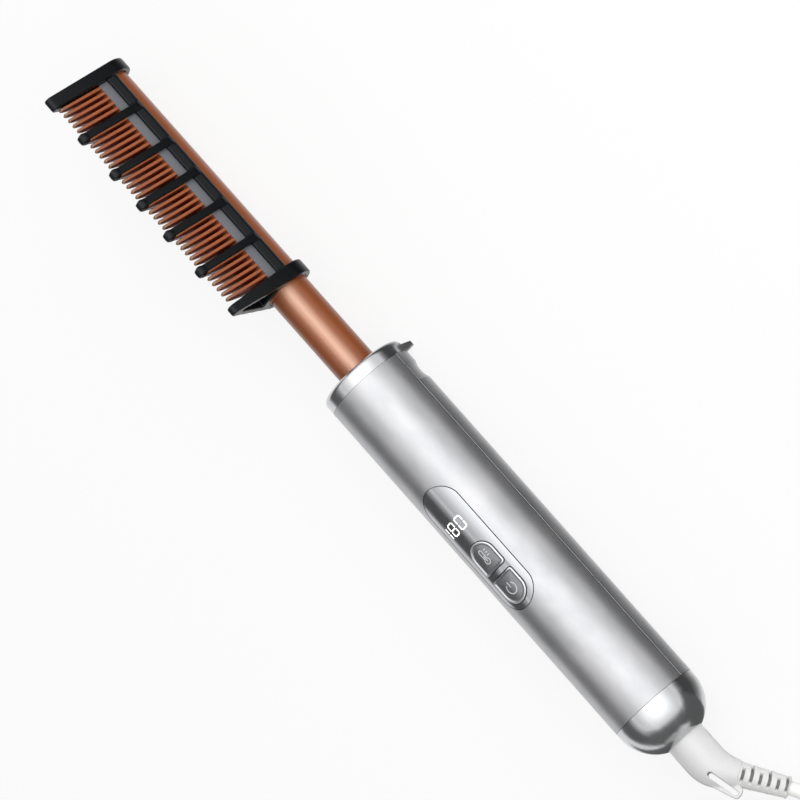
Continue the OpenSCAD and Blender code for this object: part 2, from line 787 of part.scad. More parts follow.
module circuit_board() color("seagreen") difference() {
    translate([x_board, -board_w / 2, axis_h + board_under]) cube([board_l, board_w, board_t]);
    for (x = x_posts, side = [-1, 1])
        translate([x, side * post_side, axis_h]) peg(screw_d + 2 * guard_gap, handle_d);
}

module board_screws() color("gray") for (x = x_posts, side = [-1, 1])
    translate([x, side * post_side, axis_h + board_under]) {
        translate([0, 0, -1.2]) peg(2 * screw_d, 1.2);
        translate([0, 0, -eps]) peg(screw_d, board_t + screw_in);
    }

// Length, width and height of the parts on the board
CHIP = [9, 7, 1.6];
TRIAC = [15, 10, 4.5];
FILM_CAPACITOR = [13, 7, 11];
can_d = 7;
can_h = 11;
chip_from_display = 3;
triac_from_edge = 10;
capacitors_from_edge = 9;

module microcontroller() color("black")
    translate([x_display - display_l / 2 - chip_from_display - CHIP[0], -CHIP[1] / 2, axis_h + board_level])
        cube(CHIP);

module triac() color("black")
    translate([x_board + triac_from_edge, -TRIAC[1] / 2, axis_h + board_under - TRIAC[2]]) cube(TRIAC);

module film_capacitor() color("goldenrod") translate([
    x_board + board_l - capacitors_from_edge - FILM_CAPACITOR[0], -FILM_CAPACITOR[1] - 1,
    axis_h + board_under - FILM_CAPACITOR[2]
]) cube(FILM_CAPACITOR);

module electrolytic_capacitor() color("navy")
    translate([
        x_board + board_l - capacitors_from_edge - can_d / 2, can_d / 2 + 1.7, axis_h + board_under - can_h
    ]) peg(can_d, can_h);

// ---------- heater ----------

module heating_element() color("white")
    translate([x_heater + heater_margin, -element_w / 2, axis_h - element_t / 2])
        cube([heater_l - 2 * heater_margin, element_w, element_t]);

module heater_clamp(side) color("lightgray")
    on_axis(x_heater) bar_x(heater_l) mirror([0, side < 0 ? 1 : 0]) difference() {
        circle(r = bore_r - fit);
        translate([-barrel_r, -barrel_d]) square([barrel_d, barrel_d + element_t / 2]);
    }
module heater_clamp_upper() heater_clamp(1);
module heater_clamp_lower() heater_clamp(-1);

module thermal_fuse() color("silver")
    on_axis(x_heater_end) translate([0, 0, fuse_d / 2 + 0.4 - bore_r]) rod_x(fuse_d, fuse_l);

module temperature_sensor() color("orange")
    on_axis(x_heater_end) translate([0, 0, sensor_level]) rod_x(sensor_d, sensor_l);

// Wires start at a level inside the barrel, pass above the cross pin and end at the board's edge
module board_wires(start_x, level, pass, spread, d) for (side = [-1, 1]) sweep([
    [start_x, side * spread, axis_h + level],
    [start_x + 2, side * spread, axis_h + level + 0.15 * (pass - level)],
    [start_x + wire_rise_l, side * spread, axis_h + pass - 0.15 * (pass - level)],
    [start_x + wire_rise_l + 2, side * spread, axis_h + pass],
    [x_barrel_end + 1, side * spread, axis_h + pass],
    [x_board - 2, side * spread, axis_h + board_edge_level],
    [x_board, side * spread, axis_h + board_edge_level]
], d, wire_sides);
module heater_leads() color("firebrick") board_wires(x_heater_end - heater_margin, 0, 3.3, 2.6, lead_d);
module sensor_leads() color("gold")
    board_wires(x_heater_end + sensor_l, sensor_level, sensor_level, 0.7, sensor_lead_d);

module mains_leads() color("royalblue") for (side = [-1, 1]) sweep([
    [x_board + board_l, side * mains_spread, axis_h + board_edge_level],
    [x_board + board_l + 2, side * mains_spread, axis_h + board_edge_level],
    [x_holder - 3, side * mains_spread, axis_h + brush_holder_foot + brush_holder_t / 2],
    [x_holder, side * mains_spread, axis_h + brush_holder_foot + brush_holder_t / 2]
], mains_lead_d, wire_sides);

// ---------- swivel ----------

module swivel_bearing() color("ivory") difference() {
    on_axis(x_bearing) rod_x(2 * (pocket_r - fit), bearing_t);
    on_axis(x_bearing - 1) rod_x(spindle_d + 2 * running_gap, bearing_t + 2);
}

module brush_holder() color("dimgray")
    translate([x_holder, -brush_holder_w / 2, axis_h + brush_holder_foot])
        cube([x_bearing - x_holder, brush_holder_w, brush_holder_t]);

module contact_brushes() color("gold") for (x = x_rings)
    translate([x + (ring_l - brush_w) / 2, -brush_w / 2, axis_h + contact_d / 2 + brush_gap])
        cube([brush_w, brush_w, brush_holder_foot - contact_d / 2 - brush_gap]);

module contact_rings() color("gold") for (x = x_rings) on_axis(x) difference() {
    rod_x(contact_d, ring_l);
    translate([-1, 0, 0]) rod_x(spindle_d + 2 * fit, ring_l + 2);
}

module swivel_boot() color("white") on_axis(0) difference() {
    union() {
        translate([x_spindle, 0, 0]) rod_x(spindle_d, x_flange - x_spindle + 1);
        translate([x_flange, 0, 0]) rod_x(flange_d, flange_t);
        translate([x_flange + 1, 0, 0]) rod_x(boot_d, x_bend - x_flange - 1);
        at_bend() {
            bent_body();
            translate([0, 0, -tab_t / 2]) linear_extrude(tab_t) tab_outline();
        }
    }
    at_bend() translate([0, 0, -boot_d]) linear_extrude(2 * boot_d) tab_slot_outline();
}

// The end of the boot's straight part, with the plane of its bend laid level
module at_bend() rotate([-boot_turn, 0, 0]) translate([x_bend, 0, 0]) children();
module at_relief() on_axis(0) at_bend()
    translate([bend_to[0], bend_to[1], 0]) rotate([0, 0, relief_bend]) children();

// The bent part narrows from the boot's round to the strain relief
module bent_body() {
    sides = 32;
    rings = [for (b = BEND) for (k = [0:sides - 1])
        let (r = (boot_d / 2 - tuck) * b[3], across = r * cos(360 * k / sides))
        [b[0] - across * sin(b[2]), b[1] + across * cos(b[2]), -r * sin(360 * k / sides)]];
    tube(rings, len(BEND), sides);
}

// A flat tab under the bend, with a slot to hang the comb on a hook
module tab_outline() polygon(TAB);
module tab_slot_outline() hull() for (end = tab_slot) translate(end) circle(d = tab_slot_w, $fn = 24);

// A tapering sleeve with cross slots that lets the cord bend gently
module strain_relief() color("white") at_relief() difference() {
    rotate([0, 90, 0]) cylinder(r1 = relief_r[0], r2 = relief_r[1], h = relief_l);
    for (i = [0:relief_slots - 1], side = [0, 180])
        relief_cut(relief_first_slot + i * relief_pitch, RELIEF_CUTS[i % 2], side);
}

// One slot, on one side of the sleeve's middle
module relief_cut(x, cut, side) translate([x, 0, 0]) rotate([cut[1] + side, 0, 0])
    rotate([0, side == 0 ? relief_lean : -relief_lean, 0])
        translate([0, -cut[0], relief_slot_in]) cube([relief_slot_w, 2 * cut[0], relief_r[0]]);

// ---------- cord, hank and plug ----------

module cord() color("white") sweep(LEAD, cord_d, cord_sides);

module fold_outline(width) translate([hank_at[0] - width / 2, hank_at[1]]) stadium(hank_run + width, width);

module cord_hank() color("white") translate([0, 0, tie_t]) linear_extrude(hank_h) difference() {
    fold_outline(fold_out_d);
    fold_outline(fold_in_d);
}

module cord_tail() color("white") sweep(TAIL, cord_d, cord_sides);

// A band round one of the hank's runs
module hank_tie() color("black")
    translate([hank_at[0] + tie_from_fold, hank_at[1] - fold_out_d / 2 - tie_t, 0]) difference() {
        cube([tie_w, hank_w + 2 * tie_t, hank_h + 2 * tie_t]);
        translate([-1, tie_t, tie_t]) cube([tie_w + 2, hank_w, hank_h]);
    }

module plug_body() color("white") translate(plug_at) rotate([0, 0, 180]) {
    rod_x(plug_neck_d, plug_neck_l);
    translate([plug_neck_l - eps, 0, -plug_h / 2]) linear_extrude(plug_h) polygon([
        [0, -plug_back_w / 2], [plug_slope_l, -plug_w / 2], [plug_l, -plug_w / 2],
        [plug_l, plug_w / 2], [plug_slope_l, plug_w / 2], [0, plug_back_w / 2]
    ]);
}

module plug_pins() color("silver") translate(plug_at) rotate([0, 0, 180]) for (side = [-1, 1])
    translate([plug_neck_l + plug_l - eps, side * pin_spacing / 2, 0]) {
        rod_x(pin_d, pin_l - pin_d / 2);
        translate([pin_l - pin_d / 2, 0, 0]) sphere(d = pin_d, $fn = small_fn);
    }

barrel();
comb_base();
comb_teeth();
side_strip_left();
side_strip_right();
guard();
guard_screws();
collar();
front_shell();
back_shell();
end_cap();
barrel_bush();
bush_pin();
control_panel();
temp_button();
power_button();
temp_plunger();
power_plunger();
temp_switch();
power_switch();
display_module();
light_guide();
circuit_board();
board_screws();
microcontroller();
triac();
film_capacitor();
electrolytic_capacitor();
heating_element();
heater_clamp_upper();
heater_clamp_lower();
thermal_fuse();
temperature_sensor();
heater_leads();
sensor_leads();
mains_leads();
swivel_bearing();
brush_holder();
contact_brushes();
swivel_boot();
contact_rings();
strain_relief();
cord();
cord_hank();
cord_tail();
hank_tie();
plug_body();
plug_pins();
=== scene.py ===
"""Looks of the electric hot comb: copper comb and barrel in a charcoal guard, silver handle, white cord.

The CAD part is the frame, in metres: +X runs along the handle to the cord, +Z is the way the teeth
point, and z = 0 is the table. Each section below dresses or rebuilds one piece, in the order in
which the comb is put together, with the camera and the cord first.
"""
import math

import bmesh
import bpy
from mathutils import Matrix, Vector


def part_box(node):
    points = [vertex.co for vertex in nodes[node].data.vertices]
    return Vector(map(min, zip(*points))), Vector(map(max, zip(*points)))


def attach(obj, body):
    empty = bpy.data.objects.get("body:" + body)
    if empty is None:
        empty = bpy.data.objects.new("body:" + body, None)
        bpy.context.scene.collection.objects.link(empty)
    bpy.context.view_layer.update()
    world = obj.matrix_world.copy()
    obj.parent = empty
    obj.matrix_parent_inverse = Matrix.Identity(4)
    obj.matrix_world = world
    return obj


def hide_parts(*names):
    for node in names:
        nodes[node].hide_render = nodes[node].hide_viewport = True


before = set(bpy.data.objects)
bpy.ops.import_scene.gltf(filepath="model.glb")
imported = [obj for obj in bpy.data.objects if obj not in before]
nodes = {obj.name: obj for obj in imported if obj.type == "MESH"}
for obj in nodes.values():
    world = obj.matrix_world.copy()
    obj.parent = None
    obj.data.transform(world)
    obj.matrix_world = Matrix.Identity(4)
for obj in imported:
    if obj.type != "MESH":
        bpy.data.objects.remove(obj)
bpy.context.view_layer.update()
MM = 0.001

# ---------- camera ----------
# A long lens above and beside the comb, so that the teeth point down to the left of the picture
# and the cord leaves at the lower right.
AXIS_HEIGHT = 17 * MM
LENS_TILT = math.radians(38)      # from straight above, towards +Y
LENS_SWING = math.radians(9.2)    # towards the cord
PICTURE_TURN = math.atan2(0.7481, 0.6636)
CAMERA_DISTANCE = 1575 * MM
AIM_X, AIM_ASIDE = 2.345 * MM, 3.745 * MM     # the middle of the picture, from the origin


def put(name, data):
    """Puts a new object in the scene."""
    made = bpy.data.objects.new(name, data)
    bpy.context.scene.collection.objects.link(made)
    return made


upward = Vector((0, math.sin(LENS_TILT), math.cos(LENS_TILT)))
sideward = Vector((0, math.cos(LENS_TILT), -math.sin(LENS_TILT)))
towards_lens = math.sin(LENS_SWING) * Vector((1, 0, 0)) + math.cos(LENS_SWING) * upward
along_handle = math.cos(LENS_SWING) * Vector((1, 0, 0)) - math.sin(LENS_SWING) * upward
picture_right = math.sin(PICTURE_TURN) * sideward + math.cos(PICTURE_TURN) * along_handle
picture_up = math.cos(PICTURE_TURN) * sideward - math.sin(PICTURE_TURN) * along_handle
aim = Vector((AIM_X, 0, AXIS_HEIGHT)) + AIM_ASIDE * sideward

camera = put("camera", bpy.data.cameras.new("camera"))
camera.data.sensor_width = 36
camera.data.lens = 202.5
camera.data.clip_start, camera.data.clip_end = 0.05, 20
camera.matrix_world = Matrix((picture_right, picture_up, towards_lens)).transposed().to_4x4()
camera.matrix_world.translation = aim + CAMERA_DISTANCE * towards_lens
bpy.context.scene.camera = camera
bpy.context.scene.view_settings.view_transform = "Standard"


# ---------- mains cord ----------
# Two-core flex in a smooth white soft PVC sheath, 5 mm thick and 1.5 m long. It leaves the strain
# relief, is folded into a neat hank of seven turns in line with the comb and ends on it in its plug.
def colour(hex_code):
    """Linear colour of an sRGB hex value."""
    parts = [int(hex_code[i:i + 2], 16) / 255 for i in (1, 3, 5)]
    return [c / 12.92 if c <= 0.04045 else ((c + 0.055) / 1.055) ** 2.4 for c in parts] + [1]


def add(tree, kind, settings, onward=None):
    """Adds a shader node. Each setting is a property, a socket's value, or the output to link to it,
    and onward gives the socket that an output of its own goes to."""
    made = tree.nodes.new("ShaderNode" + kind)
    for key, value in settings.items():
        if isinstance(key, str) and hasattr(made, key):
            setattr(made, key, value)
        elif isinstance(value, bpy.types.NodeSocket):
            tree.links.new(value, made.inputs[key])
        else:
            made.inputs[key].default_value = value
    for key, socket in (onward or {}).items():
        tree.links.new(made.outputs[key], socket)
    return made


def finish(name, **settings):
    """A material with one shader; returns it with its node tree and shader."""
    made = bpy.data.materials.new(name)
    made.use_nodes = True
    shader = made.node_tree.nodes["Principled BSDF"]
    for key, value in settings.items():
        shader.inputs[key.replace("_", " ")].default_value = value
    return made, made.node_tree, shader


def grain(tree, shader, size, depth, rough=None):
    """Fine unevenness of a surface: size across and depth in metres, and a range of roughness."""
    place = add(tree, "TexCoord", {})
    noise = add(tree, "TexNoise", {"Vector": place.outputs["Object"], "Scale": 1 / size, "Detail": 3})
    add(tree, "Bump", {"Height": noise.outputs["Fac"], "Distance": depth}, {"Normal": shader.inputs["Normal"]})
    if rough:
        shader.inputs["Roughness"].default_value = sum(rough) / 2     # for viewers that leave the noise out
        add(tree, "MapRange", {
            "Value": noise.outputs["Fac"], "From Min": 0.3, "From Max": 0.7,
            "To Min": rough[0], "To Max": rough[1]}, {"Result": shader.inputs["Roughness"]})
    return noise


def plain(name, shade, size, depth, rough, **settings):
    """A material of one colour with its grain."""
    made, tree, shader = finish(name, Base_Color=colour(shade), **settings)
    grain(tree, shader, size, depth, rough)
    return made


def add_piece(name, data, material, body):
    """A new piece that rides on a CAD body and takes its finish from a slot."""
    piece = put(name, data)
    data.materials.append(material)
    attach(piece, body)
    return piece


white_pvc = plain("white_soft_pvc", "#f1f1ef", 0.8 * MM, 0.01 * MM, (0.34, 0.44))

# The cord's ways to and from the hank, and the hank, in millimetres. It goes to and fro between two
# bends. Its turns lie in two columns, and the cord shifts from one place in them to the next.
CORD_D = 5 * MM
LEAD = [(193.1, 12.1, 7.5), (195.2, 13.05, 6.7), (197.3, 13.9, 6), (199.15, 14.6, 5.3), (201, 15.2, 4.6),
        (203.5, 15.85, 3.9), (206, 16.4, 3.3), (208.5, 16.8, 2.95), (211, 17.1, 2.7), (216, 17.4, 2.6)]
TAIL = [(266.8, 15.3, 23), (273.7, 9.4, 23), (276.9, 0.6, 23.2), (275.3, -8.6, 24),
        (269.3, -15.7, 25.3), (262.1, -18.7, 26.6), (255.5, -19, 27.3), (251, -19, 27.4)]
HANK_AT, HANK_RUN = (222, -5), 35     # the middle of its bend by the comb, and the length of a run
INNER, OUTER = 17.5, 22.5             # the radius of each column's bends
LAPS = [(OUTER, 3), (INNER, 3), (INNER, 8), (OUTER, 8), (OUTER, 13),
        (INNER, 13), (INNER, 18), (OUTER, 18), (OUTER, 23)]     # radius and height of each place
FIRST_SHIFT, NEXT_SHIFT, SHIFT = 110, 177.7, 60     # cord wound before one, from one to the next, in one
HANK_LENGTH, HANK_STEPS = 1413.6, 190


def hank_point(wound):
    """A point of the hank after so many millimetres of cord are wound, on its middle line."""
    lap = max(0, min(len(LAPS) - 1, math.floor((wound - FIRST_SHIFT) / NEXT_SHIFT) + 1))
    before, after = LAPS[max(lap - 1, 0)], LAPS[lap]
    share = max(0, min(1, (wound - FIRST_SHIFT - (lap - 1) * NEXT_SHIFT) / SHIFT))
    share = share * share * (3 - 2 * share)
    radius, height = (b + share * (a - b) for a, b in zip(after, before))
    fold = math.pi * (INNER + OUTER) / 2
    half, rest = divmod(wound, HANK_RUN + fold)
    back = -1 if half % 2 else 1
    angle = max(0, rest - HANK_RUN) / fold * math.pi
    along = min(rest, HANK_RUN) + radius * math.sin(angle)
    start = HANK_AT[0] + (HANK_RUN if back < 0 else 0)
    return start + back * along, HANK_AT[1] + back * radius * math.cos(angle), height


route = LEAD + [hank_point(HANK_LENGTH * step / HANK_STEPS) for step in range(HANK_STEPS)] + TAIL
line = bpy.data.curves.new("mains_cord", "CURVE")
line.dimensions = "3D"
line.bevel_depth = CORD_D / 2
line.bevel_resolution = 6
line.resolution_u = 4
line.use_fill_caps = True
spline = line.splines.new("BEZIER")
spline.bezier_points.add(len(route) - 1)
for point, place in zip(spline.bezier_points, route):
    point.co = Vector(place) * MM
    point.handle_left_type = point.handle_right_type = "AUTO"
cord = add_piece("mains_cord", line, white_pvc, "cord_swivel")
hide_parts("cord", "cord_hank", "cord_tail")


# ---------- floor, backdrop and light ----------
# A pale table in an even white room, with one large soft lamp on the lens's side. Bright and dark
# cards stand round the comb, seen only in its polish, for its streak and its dark bands.
def ray_is(tree, first, *others):
    """1 for rays of these kinds and 0 for other rays."""
    ray = add(tree, "LightPath", {})
    seen = ray.outputs[first]
    for kind in others:
        seen = add(tree, "Math", {"operation": "MAXIMUM", 0: seen, 1: ray.outputs[kind]}).outputs[0]
    return seen


world = bpy.data.worlds.new("white_room")
bpy.context.scene.world = world
world.use_nodes = True
tree = world.node_tree
backdrop = tree.nodes["Background"]
backdrop.inputs["Color"].default_value = (1, 1, 1, 1)
seen = ray_is(tree, "Is Camera Ray", "Is Glossy Ray", "Is Transmission Ray")
add(tree, "MapRange", {"Value": seen, "To Min": 0.6, "To Max": 1.0}, {"Result": backdrop.inputs["Strength"]})

paper, tree, shader = finish("white_paper", Roughness=0.9, Base_Color=colour("#fbfbfb"))
seen = ray_is(tree, "Is Camera Ray", "Is Glossy Ray")
share = add(tree, "Math", {"operation": "MULTIPLY", 0: seen, 1: 0.82})
lit = add(tree, "Emission", {})
add(tree, "MixShader", {0: share.outputs[0], 1: shader.outputs[0], 2: lit.outputs[0]},
    {0: tree.nodes["Material Output"].inputs["Surface"]})
floor_mesh = bpy.data.meshes.new("floor")
floor_mesh.from_pydata([(-3, -3, 0), (3, -3, 0), (3, 3, 0), (-3, 3, 0)], [], [(0, 1, 2, 3)])
floor_mesh.materials.append(paper)
floor = put("floor", floor_mesh)
floor.location.z = -0.05 * MM


def round_axis(angle, distance, x=0):
    """A place beside the handle, at an angle above level on the lens's side."""
    angle = math.radians(angle)
    return Vector((x, distance * math.cos(angle), AXIS_HEIGHT + distance * math.sin(angle)))


LAMP_ANGLE, LAMP_DISTANCE, LAMP_X, LAMP_L = 42, 0.9, -0.1, 1.5
facing = (Vector((0, 0, AXIS_HEIGHT)) - round_axis(LAMP_ANGLE, LAMP_DISTANCE, LAMP_X)).normalized()
across = (Vector((1, 0, 0)) - facing * facing.x).normalized()
lamp_turn = Matrix((across, (-facing).cross(across), -facing)).transposed().to_euler()


def long_lamp(name, angle, width, energy):
    """A long area lamp beside the comb, at an angle above level and turned as the soft lamp is."""
    data = bpy.data.lights.new(name, "AREA")
    data.shape, data.size, data.size_y, data.energy = "RECTANGLE", LAMP_L, width, energy
    made = put(name, data)
    made.location = round_axis(angle, LAMP_DISTANCE, LAMP_X)
    made.rotation_euler = lamp_turn
    return made


soft_lamp = long_lamp("soft_lamp", LAMP_ANGLE, 0.72, 6)
soft_lamp.visible_glossy = False


def between(stops, value):
    """The level at a value, from rising (value, level) stops, with straight lines between them."""
    for (start, low), (end, high) in zip(stops, stops[1:]):
        if value <= end:
            return low + (high - low) * max(0, (value - start) / (end - start))
    return stops[-1][1]


def span(stops, share):
    """The value at a share of the way from the first stop to the last."""
    return stops[0][0] + (stops[-1][0] - stops[0][0]) * share


def card(name, point, level, columns=24, rows=48):
    """A card that only reflections show. Its points and levels of light are functions of two shares."""
    data = bpy.data.meshes.new(name)
    grid = [(i / columns, j / rows) for j in range(rows + 1) for i in range(columns + 1)]
    data.from_pydata([point(*shares) for shares in grid], [], [
        (k, k + 1, k + columns + 2, k + columns + 1)
        for j in range(rows) for k in range(j * (columns + 1), j * (columns + 1) + columns)])
    glow = data.attributes.new("glow", "FLOAT", "POINT")
    for value, shares in zip(glow.data, grid):
        value.value = level(*shares)
    card_paper, tree, shader = finish(name + "_paper")
    glow = add(tree, "Attribute", {"attribute_name": "glow"})
    add(tree, "Emission", {"Strength": glow.outputs["Fac"]},
        {0: tree.nodes["Material Output"].inputs["Surface"]})
    data.materials.append(card_paper)
    made = put(name, data)
    made.visible_camera = made.visible_diffuse = made.visible_shadow = made.visible_transmission = False


# A bright card in front of the lamp, brightest in its middle, for the broad soft streak of light. The
# stops of a card are degrees above level, or millimetres from the axis on the table, and levels.
STREAK = [(2, 0.85), (10, 0.95), (23, 1.35), (38, 1.95), (52, 2.1), (66, 2.05), (81, 1.65), (96, 1.1),
          (112, 0.7)]
STREAK_ENDS = [(0, 0), (0.08, 1), (0.62, 1), (0.9, 0.1), (1, 0)]
card("bright_card", lambda u, v: round_axis(span(STREAK, v), 0.6, -0.7 + 1.5 * u),
     lambda u, v: 1 + (between(STREAK, span(STREAK, v)) - 1) * between(STREAK_ENDS, u))

# A dark card behind the comb and one on the table before it, for the dark bands beside the streak
REAR = [(118, 0.6), (125, 0.4), (132, 0.12), (160, 0.12), (168, 0.5)]
card("rear_card", lambda u, v: round_axis(span(REAR, v), 0.25, -0.7 + 1.3 * u),
     lambda u, v: between(REAR, span(REAR, v)))
FRONT = [(13, 0.9), (20, 0.3), (27, 0.08), (60, 0.06), (80, 0.2), (120, 0.5), (190, 1)]
card("table_card", lambda u, v: (-0.7 + 1.3 * u, span(FRONT, v) * MM, 0.02 * MM),
     lambda u, v: between(FRONT, span(FRONT, v)))

# The table is dark in the shade of the stand
SHADE = [(0, 0.9), (0.25, 0.12), (0.75, 0.12), (1, 0.9)]
card("stand_card", lambda u, v: ((-14.6 + 5 * u) * MM, (2 + 22 * v) * MM, 0.04 * MM),
     lambda u, v: max(between(SHADE, u), between(SHADE, v)))


# A dark shade round the cord end and one on the table below it, for the dark band round the cap
def end_point(u, v):
    """A point of the shade: u goes round from one side of the cap to the other, v away from the lamp."""
    turn = math.radians(-92 + 184 * u)
    inner = 46 + 32 * abs(turn / math.radians(90)) ** 1.5
    tilt = math.radians(inner + (112 - inner) * v)
    level = math.cos(turn) * Vector((1, 0, 0)) + math.sin(turn) * sideward
    way = math.cos(tilt) * upward + math.sin(tilt) * level
    return Vector((150 * MM, 0, AXIS_HEIGHT)) + 0.3 * way


END = [(0, 0.9), (0.08, 0.5), (0.18, 0.15), (0.9, 0.15), (1, 0.3)]
card("end_card", end_point, lambda u, v: between(END, v), columns=120)
card("end_table_card", lambda u, v: (0.158 + 0.6 * v, -0.16 + 0.32 * u, 0.03 * MM), lambda u, v: 0.13)


# ---------- barrel and comb base ----------
# The barrel is one drawn aluminium tube and the comb base is brazed along it. Both are sprayed with
# copper-coloured pigment under a hard clear ceramic glaze. It is satin, with a very fine orange
# peel, and its highlights are much paler than its colour, because the clear glaze lies over it.
def dress(material, *names, soft=0):
    """Gives CAD nodes a finish. Soft is how much their edges are rounded, so that they catch the light."""
    for name in names:
        nodes[name].data.materials.clear()
        nodes[name].data.materials.append(material)
        if soft:
            weld = nodes[name].modifiers.new("weld", "WELD")
            weld.merge_threshold = 0.002 * MM
            bevel = nodes[name].modifiers.new("soft_edges", "BEVEL")
            bevel.width, bevel.segments, bevel.limit_method = soft, 2, "ANGLE"
            bevel.angle_limit = math.radians(40)
            bevel.use_clamp_overlap = True
            nodes[name].modifiers.new("even_shading", "WEIGHTED_NORMAL").keep_sharp = True


copper_coat = plain("glazed_copper_ceramic_coat", "#864112", 0.5 * MM, 0.012 * MM, (0.38, 0.46),
                    Metallic=0.06, Specular_IOR_Level=0.15, Coat_Weight=0.8, Coat_Roughness=0.3)
dress(copper_coat, "barrel", "comb_base", soft=0.2 * MM)

# A second lamp that lights only the glaze gives it the pale streak
glaze_lamp = long_lamp("glaze_lamp", 62, 0.7, 108)
glaze_lamp.data.color = (0.92, 0.86, 0.7)
glaze_lamp.visible_diffuse = False
glazed = bpy.data.collections.new("glazed_pieces")
for name in ("barrel", "comb_base"):
    glazed.objects.link(nodes[name])
glaze_lamp.light_linking.receiver_collection = glazed

# ---------- comb teeth ----------
# 38 flat wedges, coined a little thicker along their middle and tumbled round at the edges, in the
# same copper coat. Their last two millimetres thin to a blunt point, where the coat is thinner and
# paler. The flanks that face the next tooth are painted darker, as painted shade between the teeth.
TOOTH_COUNT, TOOTH_PITCH, TOOTH_T = 38, 2.43 * MM, 1.3 * MM
TOOTH_ROOT, TOOTH_REACH = 10 * MM, 29.5 * MM
ROOT_HALF_W, TIP_HALF_W = 5.2 * MM, 0.9 * MM
TOOTH_BELLY = 0.28 * MM     # how much thicker each side is along its middle
THINNED_TIP = 4 * MM        # how far down from the tips the coat is thinner


def loft(rings, made=None):
    """Adds a closed body over rings of points that follow each other to a bmesh, or to a new one."""
    made = made or bmesh.new()
    rows = [[made.verts.new(point) for point in ring] for ring in rings]
    count = len(rows[0])
    for before, after in zip(rows, rows[1:]):
        for i in range(count):
            made.faces.new((before[i], before[(i + 1) % count], after[(i + 1) % count], after[i]))
    made.faces.new(list(reversed(rows[0])))
    made.faces.new(rows[-1])
    return made


def to_mesh(name, made, sharp=40):
    """Turns a bmesh into mesh data with smooth faces and sharp edges past an angle."""
    bmesh.ops.recalc_face_normals(made, faces=made.faces)
    data = bpy.data.meshes.new(name)
    made.to_mesh(data)
    made.free()
    data.shade_smooth()
    data.set_sharp_from_angle(angle=math.radians(sharp))
    return data


def rounded_rectangle(half_x, half_y, corner, steps=3):
    """Points round a rectangle with round corners."""
    points = []
    for turn, (side_x, side_y) in enumerate(((1, 1), (-1, 1), (-1, -1), (1, -1))):
        for i in range(steps + 1):
            angle = math.radians(90 * (turn + i / steps))
            points.append((side_x * (half_x - corner) + corner * math.cos(angle),
                           side_y * (half_y - corner) + corner * math.sin(angle)))
    return points


def tooth_rings(x):
    """Sections of a tooth. A station has a share of its height, and how much of its thickness is left."""
    flare = (ROOT_HALF_W - TIP_HALF_W) / (TOOTH_REACH - TOOTH_ROOT)
    stations = [(0, 1), (0.5, 1), (0.88, 0.96), (0.94, 0.88), (0.975, 0.78), (0.993, 0.62), (1, 0.4)]
    for share, thin in stations:
        height = TOOTH_ROOT + share * (TOOTH_REACH - TOOTH_ROOT)
        half_t = TOOTH_T / 2 * thin
        half_w = (TIP_HALF_W + (TOOTH_REACH - height) * flare) * min(1, 0.25 + thin)
        edge = rounded_rectangle(half_t, half_w, 0.8 * half_t)
        middle = len(edge) // 2
        belly = half_t + TOOTH_BELLY * thin
        outline = edge[:middle] + [(-belly, 0)] + edge[middle:] + [(belly, 0)]
        yield [(x + a, b, AXIS_HEIGHT + height) for a, b in outline]


def on_node(name):
    """The middle of a CAD node's box, and its half size."""
    low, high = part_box(name)
    return (Vector(low) + Vector(high)) / 2, (Vector(high) - Vector(low)) / 2


comb_middle, comb_half = on_node("comb_teeth")
first_tooth = comb_middle.x - comb_half.x + TOOTH_T / 2
teeth = bmesh.new()
for i in range(TOOTH_COUNT):
    loft(tooth_rings(first_tooth + i * TOOTH_PITCH), teeth)


def place_on(tree, axis):
    """The place of each point of a surface on an axis of the part."""
    place = add(tree, "TexCoord", {})
    return add(tree, "SeparateXYZ", {"Vector": place.outputs["Object"]}).outputs[axis]


def share_along(tree, axis, start, end):
    """A mask that goes from 0 to 1 between two places on an axis of the part."""
    return add(tree, "MapRange", {
        "Value": place_on(tree, axis), "From Min": start, "From Max": end}).outputs["Result"]


SHARE, LOW, HIGH, MIXED = 0, 6, 7, 2     # the sockets of a node that mixes two colours
tooth_coat, tree, shader = finish("copper_coat_thinned_at_tips", Metallic=0.2)
grain(tree, shader, 0.4 * MM, 0.01 * MM, (0.32, 0.4))
tips = AXIS_HEIGHT + TOOTH_REACH
shade = add(tree, "Mix", {
    "data_type": "RGBA", LOW: colour("#ac623e"), HIGH: colour("#937661"),
    SHARE: share_along(tree, "Z", tips - THINNED_TIP, tips)})
# Painted shade: the flanks that face the neighbouring teeth are darker.
surface = add(tree, "NewGeometry", {})
painted_flank_shade = add(tree, "SeparateXYZ", {"Vector": surface.outputs["Normal"]})
painted_flank_shade = add(tree, "Math", {"operation": "ABSOLUTE", 0: painted_flank_shade.outputs["X"]})
painted_flank_shade = add(tree, "MapRange", {"Value": painted_flank_shade.outputs[0], "From Min": 0.75, "From Max": 0.95})
add(tree, "Mix", {
    "data_type": "RGBA", LOW: shade.outputs[MIXED], HIGH: colour("#742a15"), SHARE: painted_flank_shade.outputs["Result"],
}, {MIXED: shader.inputs["Base Color"]})
comb = add_piece("teeth", to_mesh("teeth", teeth, sharp=60), tooth_coat, "handle")
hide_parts("comb_teeth")


# ---------- heater ----------
# A flat alumina element with a printed track lies between two half-round clamps of extruded
# aluminium, slid into the barrel. Behind it lie a thermal fuse in a tinned case and a glass bead
# sensor, with their wires in sleeves.
def mottled(name, low, high, size, depth, rough, **settings):
    """A material that wavers between two colours with its grain."""
    made, tree, shader = finish(name, **settings)
    noise = grain(tree, shader, size, depth, rough)
    add(tree, "Mix", {"data_type": "RGBA", LOW: colour(low), HIGH: colour(high), SHARE: noise.outputs["Fac"]},
        {MIXED: shader.inputs["Base Color"]})
    return made


